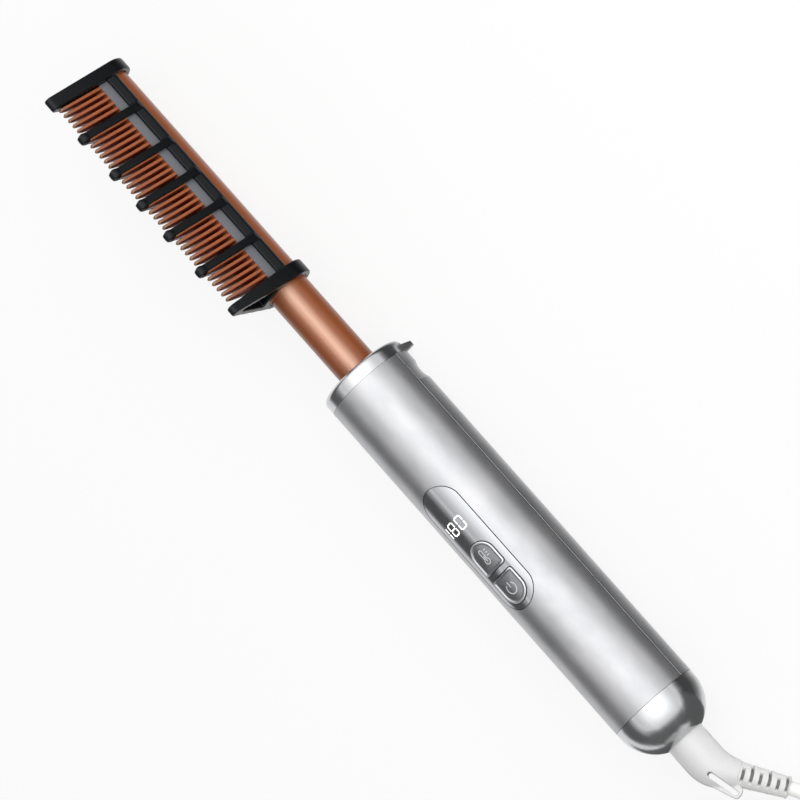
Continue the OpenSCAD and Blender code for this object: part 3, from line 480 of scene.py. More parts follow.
def embossed(tree, shader, pattern, depth, low, high):
    """Gives a shader the relief of a pattern, with one colour in its low and one in its high places."""
    add(tree, "Bump", {"Height": pattern, "Distance": depth}, {"Normal": shader.inputs["Normal"]})
    add(tree, "Mix", {"data_type": "RGBA", LOW: colour(low), HIGH: colour(high), SHARE: pattern},
        {MIXED: shader.inputs["Base Color"]})


alumina = mottled("sintered_white_alumina", "#e4e1d8", "#f2f0ea", 0.15 * MM, 0.008 * MM, (0.5, 0.65))
dress(alumina, "heating_element")

DIE_LINE = 0.25 * MM     # from one line of the extrusion die to the next
extruded_aluminium, tree, shader = finish("extruded_aluminium", Roughness=0.35, Metallic=1.0)
place = add(tree, "TexCoord", {})
drawn = add(tree, "VectorMath", {"operation": "MULTIPLY", 0: place.outputs["Object"], 1: (0.02, 1, 1)})
die_lines = add(tree, "TexNoise", {"Vector": drawn.outputs[0], "Scale": 1 / DIE_LINE, "Detail": 2})
embossed(tree, shader, die_lines.outputs["Fac"], 0.01 * MM, "#c4c6c8", "#dadbdd")
dress(extruded_aluminium, "heater_clamp_upper", "heater_clamp_lower", soft=0.15 * MM)


def part_metal(tree, shader, mask, other, metal):
    """Bare metal where a mask is 1, and another material's colour where it is 0."""
    add(tree, "Mix", {"data_type": "RGBA", LOW: other, HIGH: colour(metal), SHARE: mask},
        {MIXED: shader.inputs["Base Color"]})
    tree.links.new(mask, shader.inputs["Metallic"])


# The fuse's case is drawn and tinned. Pink epoxy seals the end where its wires come out.
seal_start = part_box("thermal_fuse")[1][0] - 1.2 * MM
tinned_case, tree, shader = finish("tinned_fuse_case")
grain(tree, shader, 0.3 * MM, 0.004 * MM, (0.24, 0.4))
case = share_along(tree, "X", seal_start + 0.1 * MM, seal_start)
part_metal(tree, shader, case, colour("#c98a82"), "#cdced0")
dress(tinned_case, "thermal_fuse", soft=0.3 * MM)

bead_glaze = plain("glazed_ceramic_bead", "#dfd9cc", 0.5 * MM, 0.01 * MM, (0.14, 0.3))
dress(bead_glaze, "temperature_sensor", soft=0.4 * MM)

# Silicone rubber sleeves braided over with glass fibre, brick red. The braid is drawn at twice its
# real pitch, so that it shows.
BRAID = 0.7 * MM
WAVE_DIAGONAL = 0.628     # a wave texture's scale times the pitch of its diagonal bands
braided_sleeve, tree, shader = finish("braided_red_lead_sleeve", Roughness=0.7)
place = add(tree, "TexCoord", {})
strands = []
for way in (1, -1):
    slanted = add(tree, "VectorMath", {"operation": "MULTIPLY", 0: place.outputs["Object"], 1: (1, way, way)})
    strands.append(add(tree, "TexWave", {
        "Vector": slanted.outputs[0], "Scale": WAVE_DIAGONAL / BRAID, "bands_direction": "DIAGONAL"}))
crossed = add(tree, "Math", {
    "operation": "MULTIPLY", 0: strands[0].outputs["Fac"], 1: strands[1].outputs["Fac"]})
embossed(tree, shader, crossed.outputs[0], 0.05 * MM, "#8e2f22", "#c4705f")
dress(braided_sleeve, "heater_leads", "sensor_leads")

# ---------- side strips ----------
# Two grey strips of satin glass-filled nylon cover the foot of the teeth, one on each side, and are
# clamped between comb base and guard.
grey_nylon = plain("moulded_grey_nylon", "#696b70", 0.25 * MM, 0.01 * MM, (0.44, 0.54))
dress(grey_nylon, "side_strip_left", "side_strip_right", soft=0.15 * MM)


# ---------- guard ----------
# One injection moulding in charcoal heat-proof nylon, with tip plate, handle-side plate, two rails
# and five fingers. All its edges are rounded by about half a millimetre and it has a soft sheen.
def rounded_copy(name, node, voxel, passes, material, body, balls=()):
    """A copy of a CAD node with every edge rounded, as a moulding's are, in a quarter of the faces."""
    grown = bmesh.new()
    grown.from_mesh(nodes[node].data)
    for middle, radius in balls:
        bmesh.ops.create_icosphere(grown, subdivisions=3, radius=radius, matrix=Matrix.Translation(middle))
    data = bpy.data.meshes.new(name)
    grown.to_mesh(data)
    grown.free()
    piece = add_piece(name, data, material, body)
    remesh = piece.modifiers.new("even_skin", "REMESH")
    remesh.mode, remesh.voxel_size, remesh.use_smooth_shade = "VOXEL", voxel, True
    relax = piece.modifiers.new("round_edges", "SMOOTH")
    relax.factor, relax.iterations = 0.5, passes
    piece.modifiers.new("fewer_faces", "DECIMATE").ratio = 0.25
    bpy.context.view_layer.update()
    made = bpy.data.meshes.new_from_object(piece.evaluated_get(bpy.context.evaluated_depsgraph_get()))
    piece.modifiers.clear()
    piece.data = made
    made.shade_smooth()
    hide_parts(node)


charcoal_nylon = plain(
    "moulded_charcoal_nylon", "#0b0e11", 0.3 * MM, 0.012 * MM, (0.22, 0.32), Specular_IOR_Level=0.25)
FINGER_AFTER = (5.5, 12.5, 18.5, 24.5, 31.5)    # how many teeth there are before each finger, less a half
KNOB_R, KNOB_HEIGHT = 2.25 * MM, 29.85 * MM
knobs = [(Vector((first_tooth + after * TOOTH_PITCH, 0, AXIS_HEIGHT + KNOB_HEIGHT)), KNOB_R)
         for after in FINGER_AFTER]
rounded_copy("moulded_guard", "guard", 0.3 * MM, 12, charcoal_nylon, "handle", knobs)

# ---------- guard screws ----------
# Two countersunk steel screws, zinc plated, hold the guard to the barrel from below. Their heads
# have a cross recess. The pin that locks the barrel in its bush has the same plating.
zinc_plate = plain("zinc_plated_steel", "#b4b6b9", 0.2 * MM, 0.006 * MM, (0.28, 0.4), Metallic=1.0)
dress(zinc_plate, "guard_screws", "bush_pin", soft=0.12 * MM)

# ---------- barrel bush ----------
# The bush that holds the barrel in the handle is moulded in heat-proof nylon with a third of glass
# fibre, left natural. Short fibres show as paler streaks.
glass_nylon = mottled("glass_filled_natural_nylon", "#dcd3bb", "#efe9d8", 0.35 * MM, 0.012 * MM, (0.42, 0.6))
dress(glass_nylon, "barrel_bush", soft=0.15 * MM)

# ---------- collar and end cap ----------
# The collar is a turned-looking ABS moulding with the flat stand moulded on, and the end cap a round
# one. Both are plated bright silver.
bright_plating = plain("bright_silver_plating", "#cdced0", 2 * MM, 0.004 * MM, (0.18, 0.24), Metallic=1.0)
dress(bright_plating, "collar", soft=0.15 * MM)
dress(bright_plating, "end_cap", soft=0.12 * MM)

# ---------- handle shells ----------
# The handle is two half shells of ABS, snapped together along its sides and sprayed with a silver
# metallic lacquer. Fine flakes in it spread the light and settle a little unevenly, in faint clouds. A
# dark hairline shows at each joint, and along the sides a pale line in it is a painted highlight on the
# shells' edges.
SEAM_HALF_W = 0.11 * MM
CLOUD = 8 * MM
FLAKE_METALLIC, EDGE_HIGHLIGHT_METALLIC = 0.9, 0.35


def hairline(tree, axis, at, half_width):
    """1 along a line at one place on an axis of the part, 0 beside it."""
    off = add(tree, "Math", {"operation": "SUBTRACT", 0: place_on(tree, axis), 1: at})
    off = add(tree, "Math", {"operation": "ABSOLUTE", 0: off.outputs[0]})
    return add(tree, "MapRange", {
        "Value": off.outputs[0], "From Min": 0.6 * half_width, "From Max": 1.4 * half_width,
        "To Min": 1, "To Max": 0}).outputs["Result"]


def lined(tree, base, lines, shade_of_line):
    """A colour with hairlines of another one on it."""
    total = lines[0]
    for line_mask in lines[1:]:
        total = add(tree, "Math", {"operation": "MAXIMUM", 0: total, 1: line_mask}).outputs[0]
    return add(tree, "Mix", {
        "data_type": "RGBA", LOW: base, HIGH: colour(shade_of_line), SHARE: total}).outputs[MIXED]


silver_lacquer, tree, shader = finish("silver_metallic_lacquer", Metallic=FLAKE_METALLIC)
grain(tree, shader, 0.12 * MM, 0.004 * MM, (0.32, 0.42))
shell_middle, shell_half = on_node("front_shell")
place = add(tree, "TexCoord", {})
drift = add(tree, "VectorMath", {"operation": "MULTIPLY", 0: place.outputs["Object"], 1: (0.6, 1, 1)})
clouds = add(tree, "TexNoise", {"Vector": drift.outputs[0], "Scale": 1 / CLOUD, "Detail": 3})
clouds = add(tree, "MapRange", {"Value": clouds.outputs["Fac"], "From Min": 0.35, "From Max": 0.65})
base = add(tree, "Mix", {
    "data_type": "RGBA", LOW: colour("#b5b6b8"), HIGH: colour("#c1c1c3"), SHARE: clouds.outputs["Result"]})
base = lined(tree, base.outputs[MIXED], [
    hairline(tree, "Z", AXIS_HEIGHT, 4 * SEAM_HALF_W),
    hairline(tree, "X", shell_middle.x - shell_half.x, SEAM_HALF_W),
    hairline(tree, "X", shell_middle.x + shell_half.x, SEAM_HALF_W),
], "#4a4b4e")
# Painted highlight: a pale, less metallic line along the sides at the joint.
edge = hairline(tree, "Z", AXIS_HEIGHT, 1.5 * SEAM_HALF_W)
tree.links.new(lined(tree, base, [edge], "#cfd0d2"), shader.inputs["Base Color"])
add(tree, "MapRange", {"Value": edge, "To Min": FLAKE_METALLIC, "To Max": EDGE_HIGHLIGHT_METALLIC},
    {"Result": shader.inputs["Metallic"]})
dress(silver_lacquer, "front_shell", "back_shell")

# ---------- circuit board ----------
# A board of glass-fibre laminate with green solder mask. Copper tracks show through the mask as
# paler lines, and tinned pads lie on a grid of 2.54 mm. Four zinc plated screws hold it.
PAD_GRID = 2.54 * MM
solder_mask, tree, shader = finish("green_solder_mask", Roughness=0.3)
place = add(tree, "TexCoord", {})
tracks = add(tree, "TexBrick", {
    "Vector": place.outputs["Object"], "Scale": 1.0, "Brick Width": 2 * PAD_GRID, "Row Height": PAD_GRID / 2,
    "Mortar Size": 0.2 * MM, "Mortar Smooth": 0.2})
pads = add(tree, "TexVoronoi", {"Vector": place.outputs["Object"], "Scale": 1 / PAD_GRID, "Randomness": 0})
pads = add(tree, "Math", {"operation": "LESS_THAN", 0: pads.outputs["Distance"], 1: 0.2})
masked = add(tree, "Mix", {
    "data_type": "RGBA", LOW: colour("#12603a"), HIGH: colour("#2a8a58"), SHARE: tracks.outputs["Fac"]})
part_metal(tree, shader, pads.outputs[0], masked.outputs[MIXED], "#c9cac6")
height = add(tree, "Math", {"operation": "MAXIMUM", 0: tracks.outputs["Fac"], 1: pads.outputs[0]})
add(tree, "Bump", {"Height": height.outputs[0], "Distance": 0.035 * MM}, {"Normal": shader.inputs["Normal"]})
dress(solder_mask, "circuit_board")
dress(zinc_plate, "board_screws", soft=0.1 * MM)

# ---------- parts on the board ----------
# The microcontroller is moulded in black epoxy, with a polished dimple at its first pin. The triac
# is the same resin on a tinned tab.
DIMPLE_INSET, DIMPLE_R = 1.2 * MM, 0.45 * MM
chip_low, chip_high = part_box("microcontroller")
black_epoxy, tree, shader = finish("moulded_black_epoxy", Base_Color=colour("#1d1d1f"))
grain(tree, shader, 0.12 * MM, 0.006 * MM)
place = add(tree, "TexCoord", {})
dimple_at = (chip_low[0] + DIMPLE_INSET, chip_low[1] + DIMPLE_INSET, chip_high[2])
dimple = add(tree, "VectorMath", {"operation": "DISTANCE", 0: place.outputs["Object"], 1: dimple_at})
add(tree, "MapRange", {
    "Value": dimple.outputs["Value"], "From Min": DIMPLE_R - 0.05 * MM, "From Max": DIMPLE_R + 0.05 * MM,
    "To Min": 0.15, "To Max": 0.6}, {"Result": shader.inputs["Roughness"]})
dress(black_epoxy, "microcontroller", soft=0.15 * MM)

tab_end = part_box("triac")[0][0] + 4 * MM
triac_resin, tree, shader = finish("black_epoxy_on_tinned_tab")
grain(tree, shader, 0.15 * MM, 0.006 * MM, (0.4, 0.55))
tab = share_along(tree, "X", tab_end, tab_end - 0.05 * MM)
part_metal(tree, shader, tab, colour("#1d1d1f"), "#c6c7c9")
dress(triac_resin, "triac", soft=0.15 * MM)

# The film capacitor is a yellow polyester case, glossy and slightly uneven, filled with epoxy.
yellow_case = mottled("yellow_polyester_case", "#dc9c22", "#eab23a", 2 * MM, 0.02 * MM, (0.2, 0.32))
dress(yellow_case, "film_capacitor", soft=0.4 * MM)

# The other is an aluminium can in a shrunk blue sleeve with a pale stripe. The sleeve stops short of
# the can's end.
can_low, can_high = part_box("electrolytic_capacitor")
sleeved_can, tree, shader = finish("blue_sleeved_can")
grain(tree, shader, 1 * MM, 0.006 * MM, (0.24, 0.36))
stripe = share_along(tree, "Y", can_high[1] - 0.5 * MM, can_high[1] - 0.45 * MM)
bare = share_along(tree, "Z", can_low[2] + 0.25 * MM, can_low[2] + 0.2 * MM)
sleeve = add(tree, "Mix", {
    "data_type": "RGBA", LOW: colour("#2a3f86"), HIGH: colour("#c9ced8"), SHARE: stripe})
part_metal(tree, shader, bare, sleeve.outputs[MIXED], "#cfd0d2")
dress(sleeved_can, "electrolytic_capacitor", soft=0.4 * MM)

# The leads to the swivel are smooth brick-red silicone rubber with a faint bloom.
silicone = mottled("red_silicone_rubber", "#963629", "#a84b3c", 1.5 * MM, 0.008 * MM, (0.45, 0.6))
dress(silicone, "mains_leads")

# ---------- display ----------
# The display's case is moulded in black ABS with a satin face. Over it lies a light guide in clear
# acrylic, polished, that carries the light up to the panel. The buttons' plungers are black too.
black_abs = plain("moulded_black_abs", "#202022", 0.25 * MM, 0.01 * MM, (0.36, 0.5))
dress(black_abs, "display_module", soft=0.15 * MM)
dress(black_abs, "temp_plunger", "power_plunger")
clear_acrylic = plain(
    "clear_acrylic", "#f4f6f8", 3 * MM, 0.004 * MM, (0.03, 0.1), Transmission_Weight=1.0, IOR=1.49)
dress(clear_acrylic, "light_guide")

# ---------- switches ----------
# Two tact switches under the buttons, each a black base with a stainless steel plate clipped over
# its top. A plunger in black ABS stands on each.
for name in ("temp_switch", "power_switch"):
    plate_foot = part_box(name)[1][2] - 0.35 * MM
    plated_switch, tree, shader = finish(name + "_steel_over_black_base")
    grain(tree, shader, 0.2 * MM, 0.006 * MM, (0.34, 0.5))
    plate = share_along(tree, "Z", plate_foot, plate_foot + 0.05 * MM)
    part_metal(tree, shader, plate, colour("#1c1c1e"), "#b9babc")
    dress(plated_switch, name, soft=0.1 * MM)

# ---------- control panel ----------
# A long curved plate of ABS, plated bright, let into the front shell with a fine gap round it. The
# display shows through it where the plating is thin.
panel_plating = plain("panel_silver_plating", "#bfc0c3", 3 * MM, 0.004 * MM, (0.14, 0.19), Metallic=1.0)
dress(panel_plating, "control_panel", soft=0.12 * MM)

# ---------- buttons ----------
# Two D-shaped ABS buttons in a grey metallic lacquer. Each has a flange that holds it under the
# panel, a rounded lip that stands half a millimetre proud and a shallow dish inside it. The lip
# is painted brighter than the dish, as a painted highlight on its raised curve.
HANDLE_R = 17 * MM
BUTTON_L, BUTTON_W, BUTTON_CORNER = 11.8 * MM, 10.8 * MM, 1.2 * MM
STEM_R, FLANGE_OUT, FLANGE_T = 2.2 * MM, 0.55 * MM, 0.8 * MM
FLANGE_TOP = AXIS_HEIGHT + 14.39 * MM
DISH_INSET, DISH_PROUD = 1.6, 0.02
LIP = [(0, 0.12), (0.04, 0.3), (0.15, 0.43), (0.32, 0.49), (0.5, 0.48), (0.68, 0.4), (0.85, 0.24),
       (1.0, 0.1), (1.2, 0.04), (DISH_INSET, DISH_PROUD)]     # inset and height over the handle, in mm


def d_outline(inset, flip):
    """Points round a button at an inset from its edge, with the round end towards +X or, flipped, -X."""
    half_l, half_w = BUTTON_L / 2 - inset, BUTTON_W / 2 - inset
    corner = max(BUTTON_CORNER - inset, 0.35 * MM)
    points = []
    for step in range(33):
        angle = math.radians(-90 + 180 * step / 32)
        points.append((half_l - half_w + half_w * math.cos(angle), half_w * math.sin(angle)))
    for side in (1, -1):
        for step in range(7):
            angle = math.radians((90 if side > 0 else 180) + 90 * step / 6)
            points.append((-half_l + corner + corner * math.cos(angle),
                           side * (half_w - corner) + corner * math.sin(angle)))
    return [(flip * x, flip * y) for x, y in points]


def over_handle(x, y, proud):
    """A point at a height over the handle's round surface."""
    return x, y, AXIS_HEIGHT + math.sqrt((HANDLE_R + proud) ** 2 - y * y)


def button_rings(middle, flip, stem_foot):
    """Sections of a button: stem, flange, wall, lip and dish, from its foot to the middle of its dish."""
    flange_foot = FLANGE_TOP - FLANGE_T
    stem = [(STEM_R * x / math.hypot(x, y), STEM_R * y / math.hypot(x, y)) for x, y in d_outline(0, flip)]
    for level in (stem_foot, flange_foot):
        yield [(middle + x, y, level) for x, y in stem]
    for inset, level in ((-FLANGE_OUT, flange_foot), (-FLANGE_OUT, FLANGE_TOP), (0, FLANGE_TOP)):
        yield [(middle + x, y, level) for x, y in d_outline(inset, flip)]
    for inset, proud in LIP:
        yield [over_handle(middle + x, y, proud * MM) for x, y in d_outline(inset * MM, flip)]
    for share in (0.7, 0.4, 0.12):
        yield [over_handle(middle + share * x, share * y, DISH_PROUD * MM)
               for x, y in d_outline(DISH_INSET * MM, flip)]


grey_lacquer, tree, shader = finish("grey_metallic_lacquer", Metallic=0.85)
grain(tree, shader, 0.12 * MM, 0.003 * MM, (0.22, 0.32))
place = add(tree, "TexCoord", {})
radial = add(tree, "VectorMath", {"operation": "SUBTRACT", 0: place.outputs["Object"], 1: (0, 0, AXIS_HEIGHT)})
radial = add(tree, "VectorMath", {"operation": "MULTIPLY", 0: radial.outputs[0], 1: (0, 1, 1)})
radial = add(tree, "VectorMath", {"operation": "LENGTH", 0: radial.outputs[0]})
# Painted highlight: the raised lip is painted lighter than the dish.
painted_lip_highlight = add(tree, "MapRange", {
    "Value": radial.outputs["Value"], "From Min": HANDLE_R + 0.2 * MM, "From Max": HANDLE_R + 0.42 * MM})
add(tree, "Mix", {
    "data_type": "RGBA", LOW: colour("#9c9da0"), HIGH: colour("#dadbdd"), SHARE: painted_lip_highlight.outputs["Result"],
}, {MIXED: shader.inputs["Base Color"]})
button_x = {}
for name, flip in (("temp_button", -1), ("power_button", 1)):
    button_x[name] = on_node(name)[0].x
    button = loft(button_rings(button_x[name], flip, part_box(name)[0][2]))
    piece = add_piece(name + "_cap", to_mesh(name, button), grey_lacquer, name)
    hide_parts(name)

# ---------- icons and digits ----------
# Each button carries a white printed sign, a power sign and a thermometer. Three lit digits of
# seven segments shine through the panel, with their tops towards the comb.
PRINT_TOP, PRINT_T, PRINT_W = 0.05 * MM, 0.04 * MM, 0.38 * MM


def stroke(made, path, top=PRINT_TOP, width=PRINT_W):
    """A flat line of a given width along points (x, y) over the handle, with blunt ends."""
    rings = []
    for i, (x, y) in enumerate(path):
        before, after = path[max(i - 1, 0)], path[min(i + 1, len(path) - 1)]
        way = Vector((after[0] - before[0], after[1] - before[1])).normalized() * width / 2
        rings.append([over_handle(x - side * way.y, y + side * way.x, level)
                      for side, level in ((1, top), (-1, top), (-1, top - PRINT_T), (1, top - PRINT_T))])
    loft(rings, made)


def arc(middle, radius, start, end, steps):
    """Points along an arc round a middle, in degrees."""
    turns = [math.radians(start + (end - start) * i / steps) for i in range(steps + 1)]
    return [(middle[0] + radius * math.cos(turn), middle[1] + radius * math.sin(turn)) for turn in turns]


white_print = plain("white_pad_print", "#d2d3d6", 0.15 * MM, 0.004 * MM, (0.45, 0.6))

power_x = button_x["power_button"]
power_sign = bmesh.new()
stroke(power_sign, arc((power_x, 0), 2.1 * MM, 215, 505, 32))
stroke(power_sign, [(power_x - 2.6 * MM, 0), (power_x - 0.3 * MM, 0)])
add_piece("power_sign", to_mesh("power_sign", power_sign), white_print, "power_button")

# The thermometer: bulb, tube with a round end, column and three heat marks
temp_x = button_x["temp_button"]
BULB_X, BULB_R = temp_x + 1.7 * MM, 1.1 * MM
TUBE_END_X, TUBE_HALF_W = temp_x - 2.2 * MM, 0.63 * MM
temp_sign = bmesh.new()
stroke(temp_sign, arc((BULB_X, 0), BULB_R, -145, 145, 24), width=0.34 * MM)
for side in (-1, 1):
    stroke(temp_sign, [(BULB_X - 0.9 * MM, side * TUBE_HALF_W), (TUBE_END_X, side * TUBE_HALF_W)])
stroke(temp_sign, arc((TUBE_END_X, 0), TUBE_HALF_W, 90, 270, 12))
stroke(temp_sign, [(BULB_X + 0.2 * MM, 0), (temp_x - 0.6 * MM, 0)])
for step in range(3):
    mark_x = temp_x + (0.2 - 1.1 * step) * MM
    stroke(temp_sign, [(mark_x, 1.5 * MM), (mark_x, 2.5 * MM)])
sign_mesh = to_mesh("temperature_sign", temp_sign)
add_piece("temperature_sign", sign_mesh, white_print, "temp_button")

lit_segment, tree, shader = finish(
    "lit_white_segment", Roughness=0.5, Base_Color=colour("#ffffff"), Emission_Color=(1, 1, 1, 1))
grain(tree, shader, 0.2 * MM, 0.001 * MM)
place = add(tree, "TexCoord", {})
patch = add(tree, "TexNoise", {"Vector": place.outputs["Object"], "Scale": 1 / (1.5 * MM)})
add(tree, "MapRange", {
    "Value": patch.outputs["Fac"], "From Min": 0.3, "From Max": 0.7, "To Min": 0.7, "To Max": 1.0,
}, {"Result": shader.inputs["Emission Strength"]})
DIGIT_H, DIGIT_W, SEGMENT_W, DIGIT_X, DIGIT_TOP = 4.8 * MM, 2.7 * MM, 0.5 * MM, 50.7 * MM, 0.02 * MM
SEGMENTS = {"top": ((1, 0), (1, 1)), "middle": ((0, 0), (0, 1)), "bottom": ((-1, 0), (-1, 1)),
            "upper_left": ((1, 0), (0, 0)), "lower_left": ((0, 0), (-1, 0)),
            "upper_right": ((1, 1), (0, 1)), "lower_right": ((0, 1), (-1, 1))}
DIGITS = [(-23, ("upper_right", "lower_right")),     # 1, 8 and 0, by their turn round the handle in degrees
          (-8, tuple(SEGMENTS)),
          (7, ("top", "bottom", "upper_left", "lower_left", "upper_right", "lower_right"))]
digits = bmesh.new()
for turn, lit in DIGITS:
    for segment in lit:
        ends = []
        for up, right in SEGMENTS[segment]:
            turned = math.radians(turn) + (right - 0.5) * DIGIT_W / HANDLE_R
            ends.append(Vector((DIGIT_X - up * DIGIT_H / 2, HANDLE_R * math.sin(turned))))
        short = (ends[1] - ends[0]).normalized() * 0.42 * SEGMENT_W
        start, end = ends[0] + short, ends[1] - short
        stroke(digits, [start + (end - start) * i / 4 for i in range(5)], DIGIT_TOP, SEGMENT_W)
add_piece("lit_digits", to_mesh("lit_digits", digits), lit_segment, "handle")

# ---------- swivel bearing, brushes and rings ----------
# The cord's end turns in a natural acetal bearing. Two bronze springs in a black phenolic block
# rub on two turned brass rings, which carry the mains to the board.
acetal = mottled("natural_acetal", "#e6e2d6", "#f1eee6", 1.5 * MM, 0.006 * MM, (0.28, 0.4))
dress(acetal, "swivel_bearing", soft=0.2 * MM)
phenolic = mottled("black_phenolic", "#19191a", "#39332d", 0.15 * MM, 0.01 * MM, (0.42, 0.6))
dress(phenolic, "brush_holder", soft=0.2 * MM)
bronze = mottled(
    "rolled_phosphor_bronze", "#b9823f", "#d39c58", 0.4 * MM, 0.004 * MM, (0.24, 0.4), Metallic=1.0)
dress(bronze, "contact_brushes")

# Turning leaves rings in the brass at each 0.25 mm, and the rubbed track between them is brighter.
FEED = 0.25 * MM
WAVE_X = 0.314     # a wave texture's scale times the pitch of its bands along X
turned_brass, tree, shader = finish("turned_brass", Roughness=0.25, Metallic=1.0)
place = add(tree, "TexCoord", {})
feed = add(tree, "TexWave", {
    "Vector": place.outputs["Object"], "Scale": WAVE_X / FEED, "bands_direction": "X", "Distortion": 0.3})
embossed(tree, shader, feed.outputs["Fac"], 0.006 * MM, "#c79a4b", "#e3bd6e")
dress(turned_brass, "contact_rings", soft=0.1 * MM)

# ---------- swivel boot ----------
# The boot turns with the cord in the end cap. It is one moulding in smooth white plastic, with a
# round body that bends to the strain relief and a flat tab with a slot to hang the comb by.
white_plastic = plain("moulded_white_plastic", "#dcdcdc", 0.8 * MM, 0.006 * MM, (0.26, 0.36))
rounded_copy("moulded_boot", "swivel_boot", 0.28 * MM, 8, white_plastic, "cord_swivel")

# ---------- strain relief ----------
# A tapering sleeve in soft white PVC, moulded on the cord. Six slots are cut in turn straight
# across and from one side, on both faces, so that it bends with the cord. Their floors are painted
# darker, as painted shade in the slots.
RELIEF_L, RELIEF_R, SLOT_FLOOR_R = 17.8 * MM, (4.4 * MM, 3.75 * MM), 2.5 * MM
RELIEF_START, RELIEF_BEND = (178.3053 * MM, 5.6 * MM, 0), math.radians(33.5)
SLOT_COUNT, SLOT_PITCH, SLOT_HALF_W, SLOT_BULGE = 6, 3.12 * MM, 0.42 * MM, 1.05 * MM
SLOT_LIP, SLOT_LIP_AT = 0.18 * MM, 1.15 * MM
SLOT_REACH = [(0, 36), (28.5, 61)]    # middle and half width round the sleeve, in degrees
END_ROUND = 0.5 * MM
relief_place = (Matrix.Translation((0, 0, AXIS_HEIGHT)) @ Matrix.Rotation(-LENS_TILT, 4, "X")
                @ Matrix.Translation(RELIEF_START) @ Matrix.Rotation(RELIEF_BEND, 4, "Z"))


def ease(value, low, high):
    """0 below low, 1 above high and smooth between."""
    share = max(0, min(1, (value - low) / (high - low)))
    return share * share * (3 - 2 * share)


def full_radius(distance):
    """The radius of the sleeve without its slots at a distance from the boot."""
    return RELIEF_R[0] + (RELIEF_R[1] - RELIEF_R[0]) * distance / RELIEF_L


def relief_radius(distance, around):
    """The sleeve's radius at a distance from the boot and an angle from the side that faces up."""
    full = full_radius(distance) - END_ROUND * ease(distance, RELIEF_L - END_ROUND, RELIEF_L) ** 2
    cut = lip = 0
    for i in range(SLOT_COUNT):
        middle, reach = SLOT_REACH[i % 2]
        for face in (0, 180):
            off = abs((around - middle - face + 180) % 360 - 180)
            inside = 1 - ease(off, reach - 7, reach + 3)
            centre = 0.3 * MM + i * SLOT_PITCH + SLOT_BULGE * abs(math.cos(math.radians(around)))
            beside = 1 - ease(abs(distance - centre), SLOT_HALF_W, SLOT_HALF_W + 0.18 * MM)
            cut = max(cut, inside * beside)
            lip = max(lip, inside * (1 - ease(abs(distance - centre - SLOT_LIP_AT), 0.1 * MM, 0.7 * MM)))
    return full + SLOT_LIP * lip * (1 - cut) + (SLOT_FLOOR_R - full) * cut


RELIEF_STEPS, RELIEF_SIDES = 150, 96
rings, slot_depths = [], []
for step in range(RELIEF_STEPS + 1):
    distance = RELIEF_L * step / RELIEF_STEPS
    full = full_radius(distance)
    ring = []
    for side in range(RELIEF_SIDES):
        around = 360 * side / RELIEF_SIDES
        radius = relief_radius(distance, around)
        ring.append(relief_place @ Vector((
            distance, radius * math.sin(math.radians(around)), radius * math.cos(math.radians(around)))))
        slot_depths.append((full - radius) / (full - SLOT_FLOOR_R) if distance < RELIEF_L - END_ROUND else 0)
    rings.append(ring)
relief_mesh = to_mesh("slotted_strain_relief", loft(rings), sharp=50)
relief_mesh.attributes.new("slot_depth", "FLOAT", "POINT").data.foreach_set("value", slot_depths)

slotted_pvc, tree, shader = finish("slotted_white_pvc")
grain(tree, shader, 0.8 * MM, 0.01 * MM, (0.36, 0.46))
# Painted shade: the deeper into a slot, the darker.
depth = add(tree, "Attribute", {"attribute_name": "slot_depth"})
painted_slot_shade = add(tree, "MapRange", {"Value": depth.outputs["Fac"], "From Min": 0.35, "From Max": 1})
add(tree, "Mix", {
    "data_type": "RGBA", LOW: colour("#dfdfde"), HIGH: colour("#7f7f7e"), SHARE: painted_slot_shade.outputs["Result"],
}, {MIXED: shader.inputs["Base Color"]})
relief = add_piece("slotted_strain_relief", relief_mesh, slotted_pvc, "cord_swivel")
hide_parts("strain_relief")

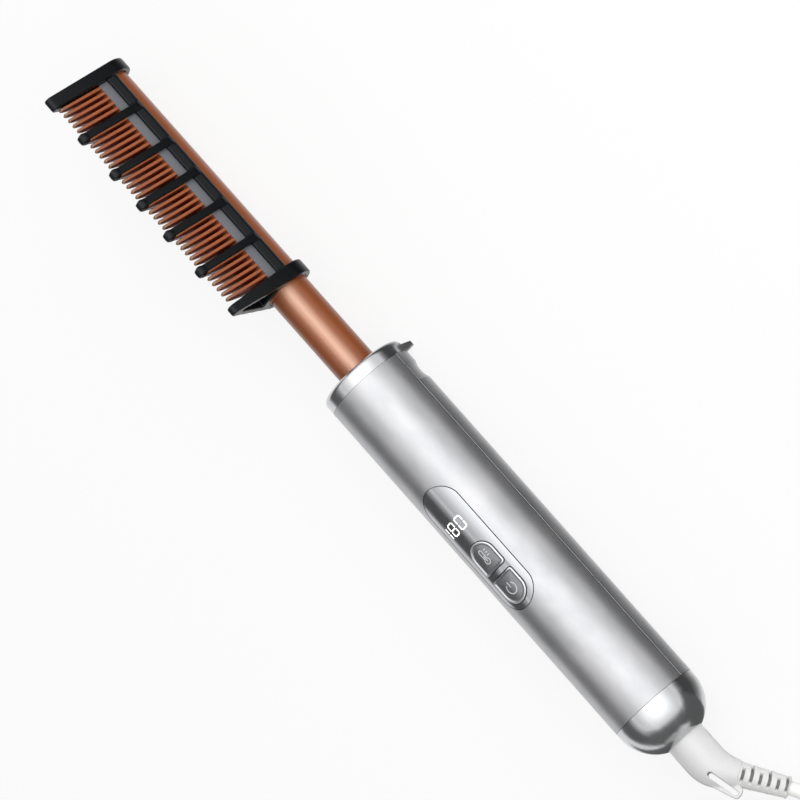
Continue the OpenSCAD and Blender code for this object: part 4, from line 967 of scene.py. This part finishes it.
# ---------- plug ----------
# A flat two-pin mains plug, moulded in white PVC on the end of the cord, with a waist to grip it
# by. Its pins are nickel-plated brass with a black sleeve over the half next to the body.
PLUG_SECTIONS = [      # distance from the end of the neck, half width, half height and corner, in mm
    (0, 3.2, 3.2, 3.1), (0.5, 3.9, 3.9, 3.8), (7, 3.95, 3.95, 3.8), (8.6, 5.4, 5.2, 3.5),
    (10, 6.9, 5.9, 3.2), (13, 9.6, 5.9, 3), (16.5, 13.6, 6.1, 3), (19.5, 16.7, 6.5, 3.2),
    (22, 17.3, 6.75, 3.2), (32.6, 17.4, 6.8, 3), (33.6, 17.1, 6.5, 2.8), (34, 16.5, 5.9, 2.4)]
PIN_SLEEVE = 10 * MM
plug_middle, plug_half = on_node("plug_body")
plug_rings = [
    [(plug_middle.x + plug_half.x - back * MM, plug_middle.y + y, plug_middle.z + z)
     for y, z in rounded_rectangle(half_w * MM, half_h * MM, corner * MM, 6)]
    for back, half_w, half_h, corner in PLUG_SECTIONS]
plug_mesh = to_mesh("moulded_plug", loft(plug_rings), sharp=50)
plug = add_piece("moulded_plug", plug_mesh, white_pvc, "cord_swivel")
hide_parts("plug_body")

sleeve_end = plug_middle.x - plug_half.x - PIN_SLEEVE
nickel_plate, tree, shader = finish("nickel_plated_brass_pin")
grain(tree, shader, 0.5 * MM, 0.004 * MM, (0.2, 0.4))
bare_pin = share_along(tree, "X", sleeve_end + 0.05 * MM, sleeve_end)
part_metal(tree, shader, bare_pin, colour("#1b1b1d"), "#cfccc4")
dress(nickel_plate, "plug_pins")

# ---------- hank tie ----------
# A band of black polyester tape, woven in a twill and sewn to itself round one run of the hank.
THREAD = 0.8 * MM     # real threads are half as wide, too fine to show
woven_tape, tree, shader = finish("black_woven_tape", Roughness=0.85)
place = add(tree, "TexCoord", {})
twill = add(tree, "TexWave", {
    "Vector": place.outputs["Object"], "Scale": WAVE_DIAGONAL / THREAD, "bands_direction": "DIAGONAL",
    "Distortion": 0.5})
embossed(tree, shader, twill.outputs["Fac"], 0.1 * MM, "#141416", "#303034")
dress(woven_tape, "hank_tie", soft=0.2 * MM)
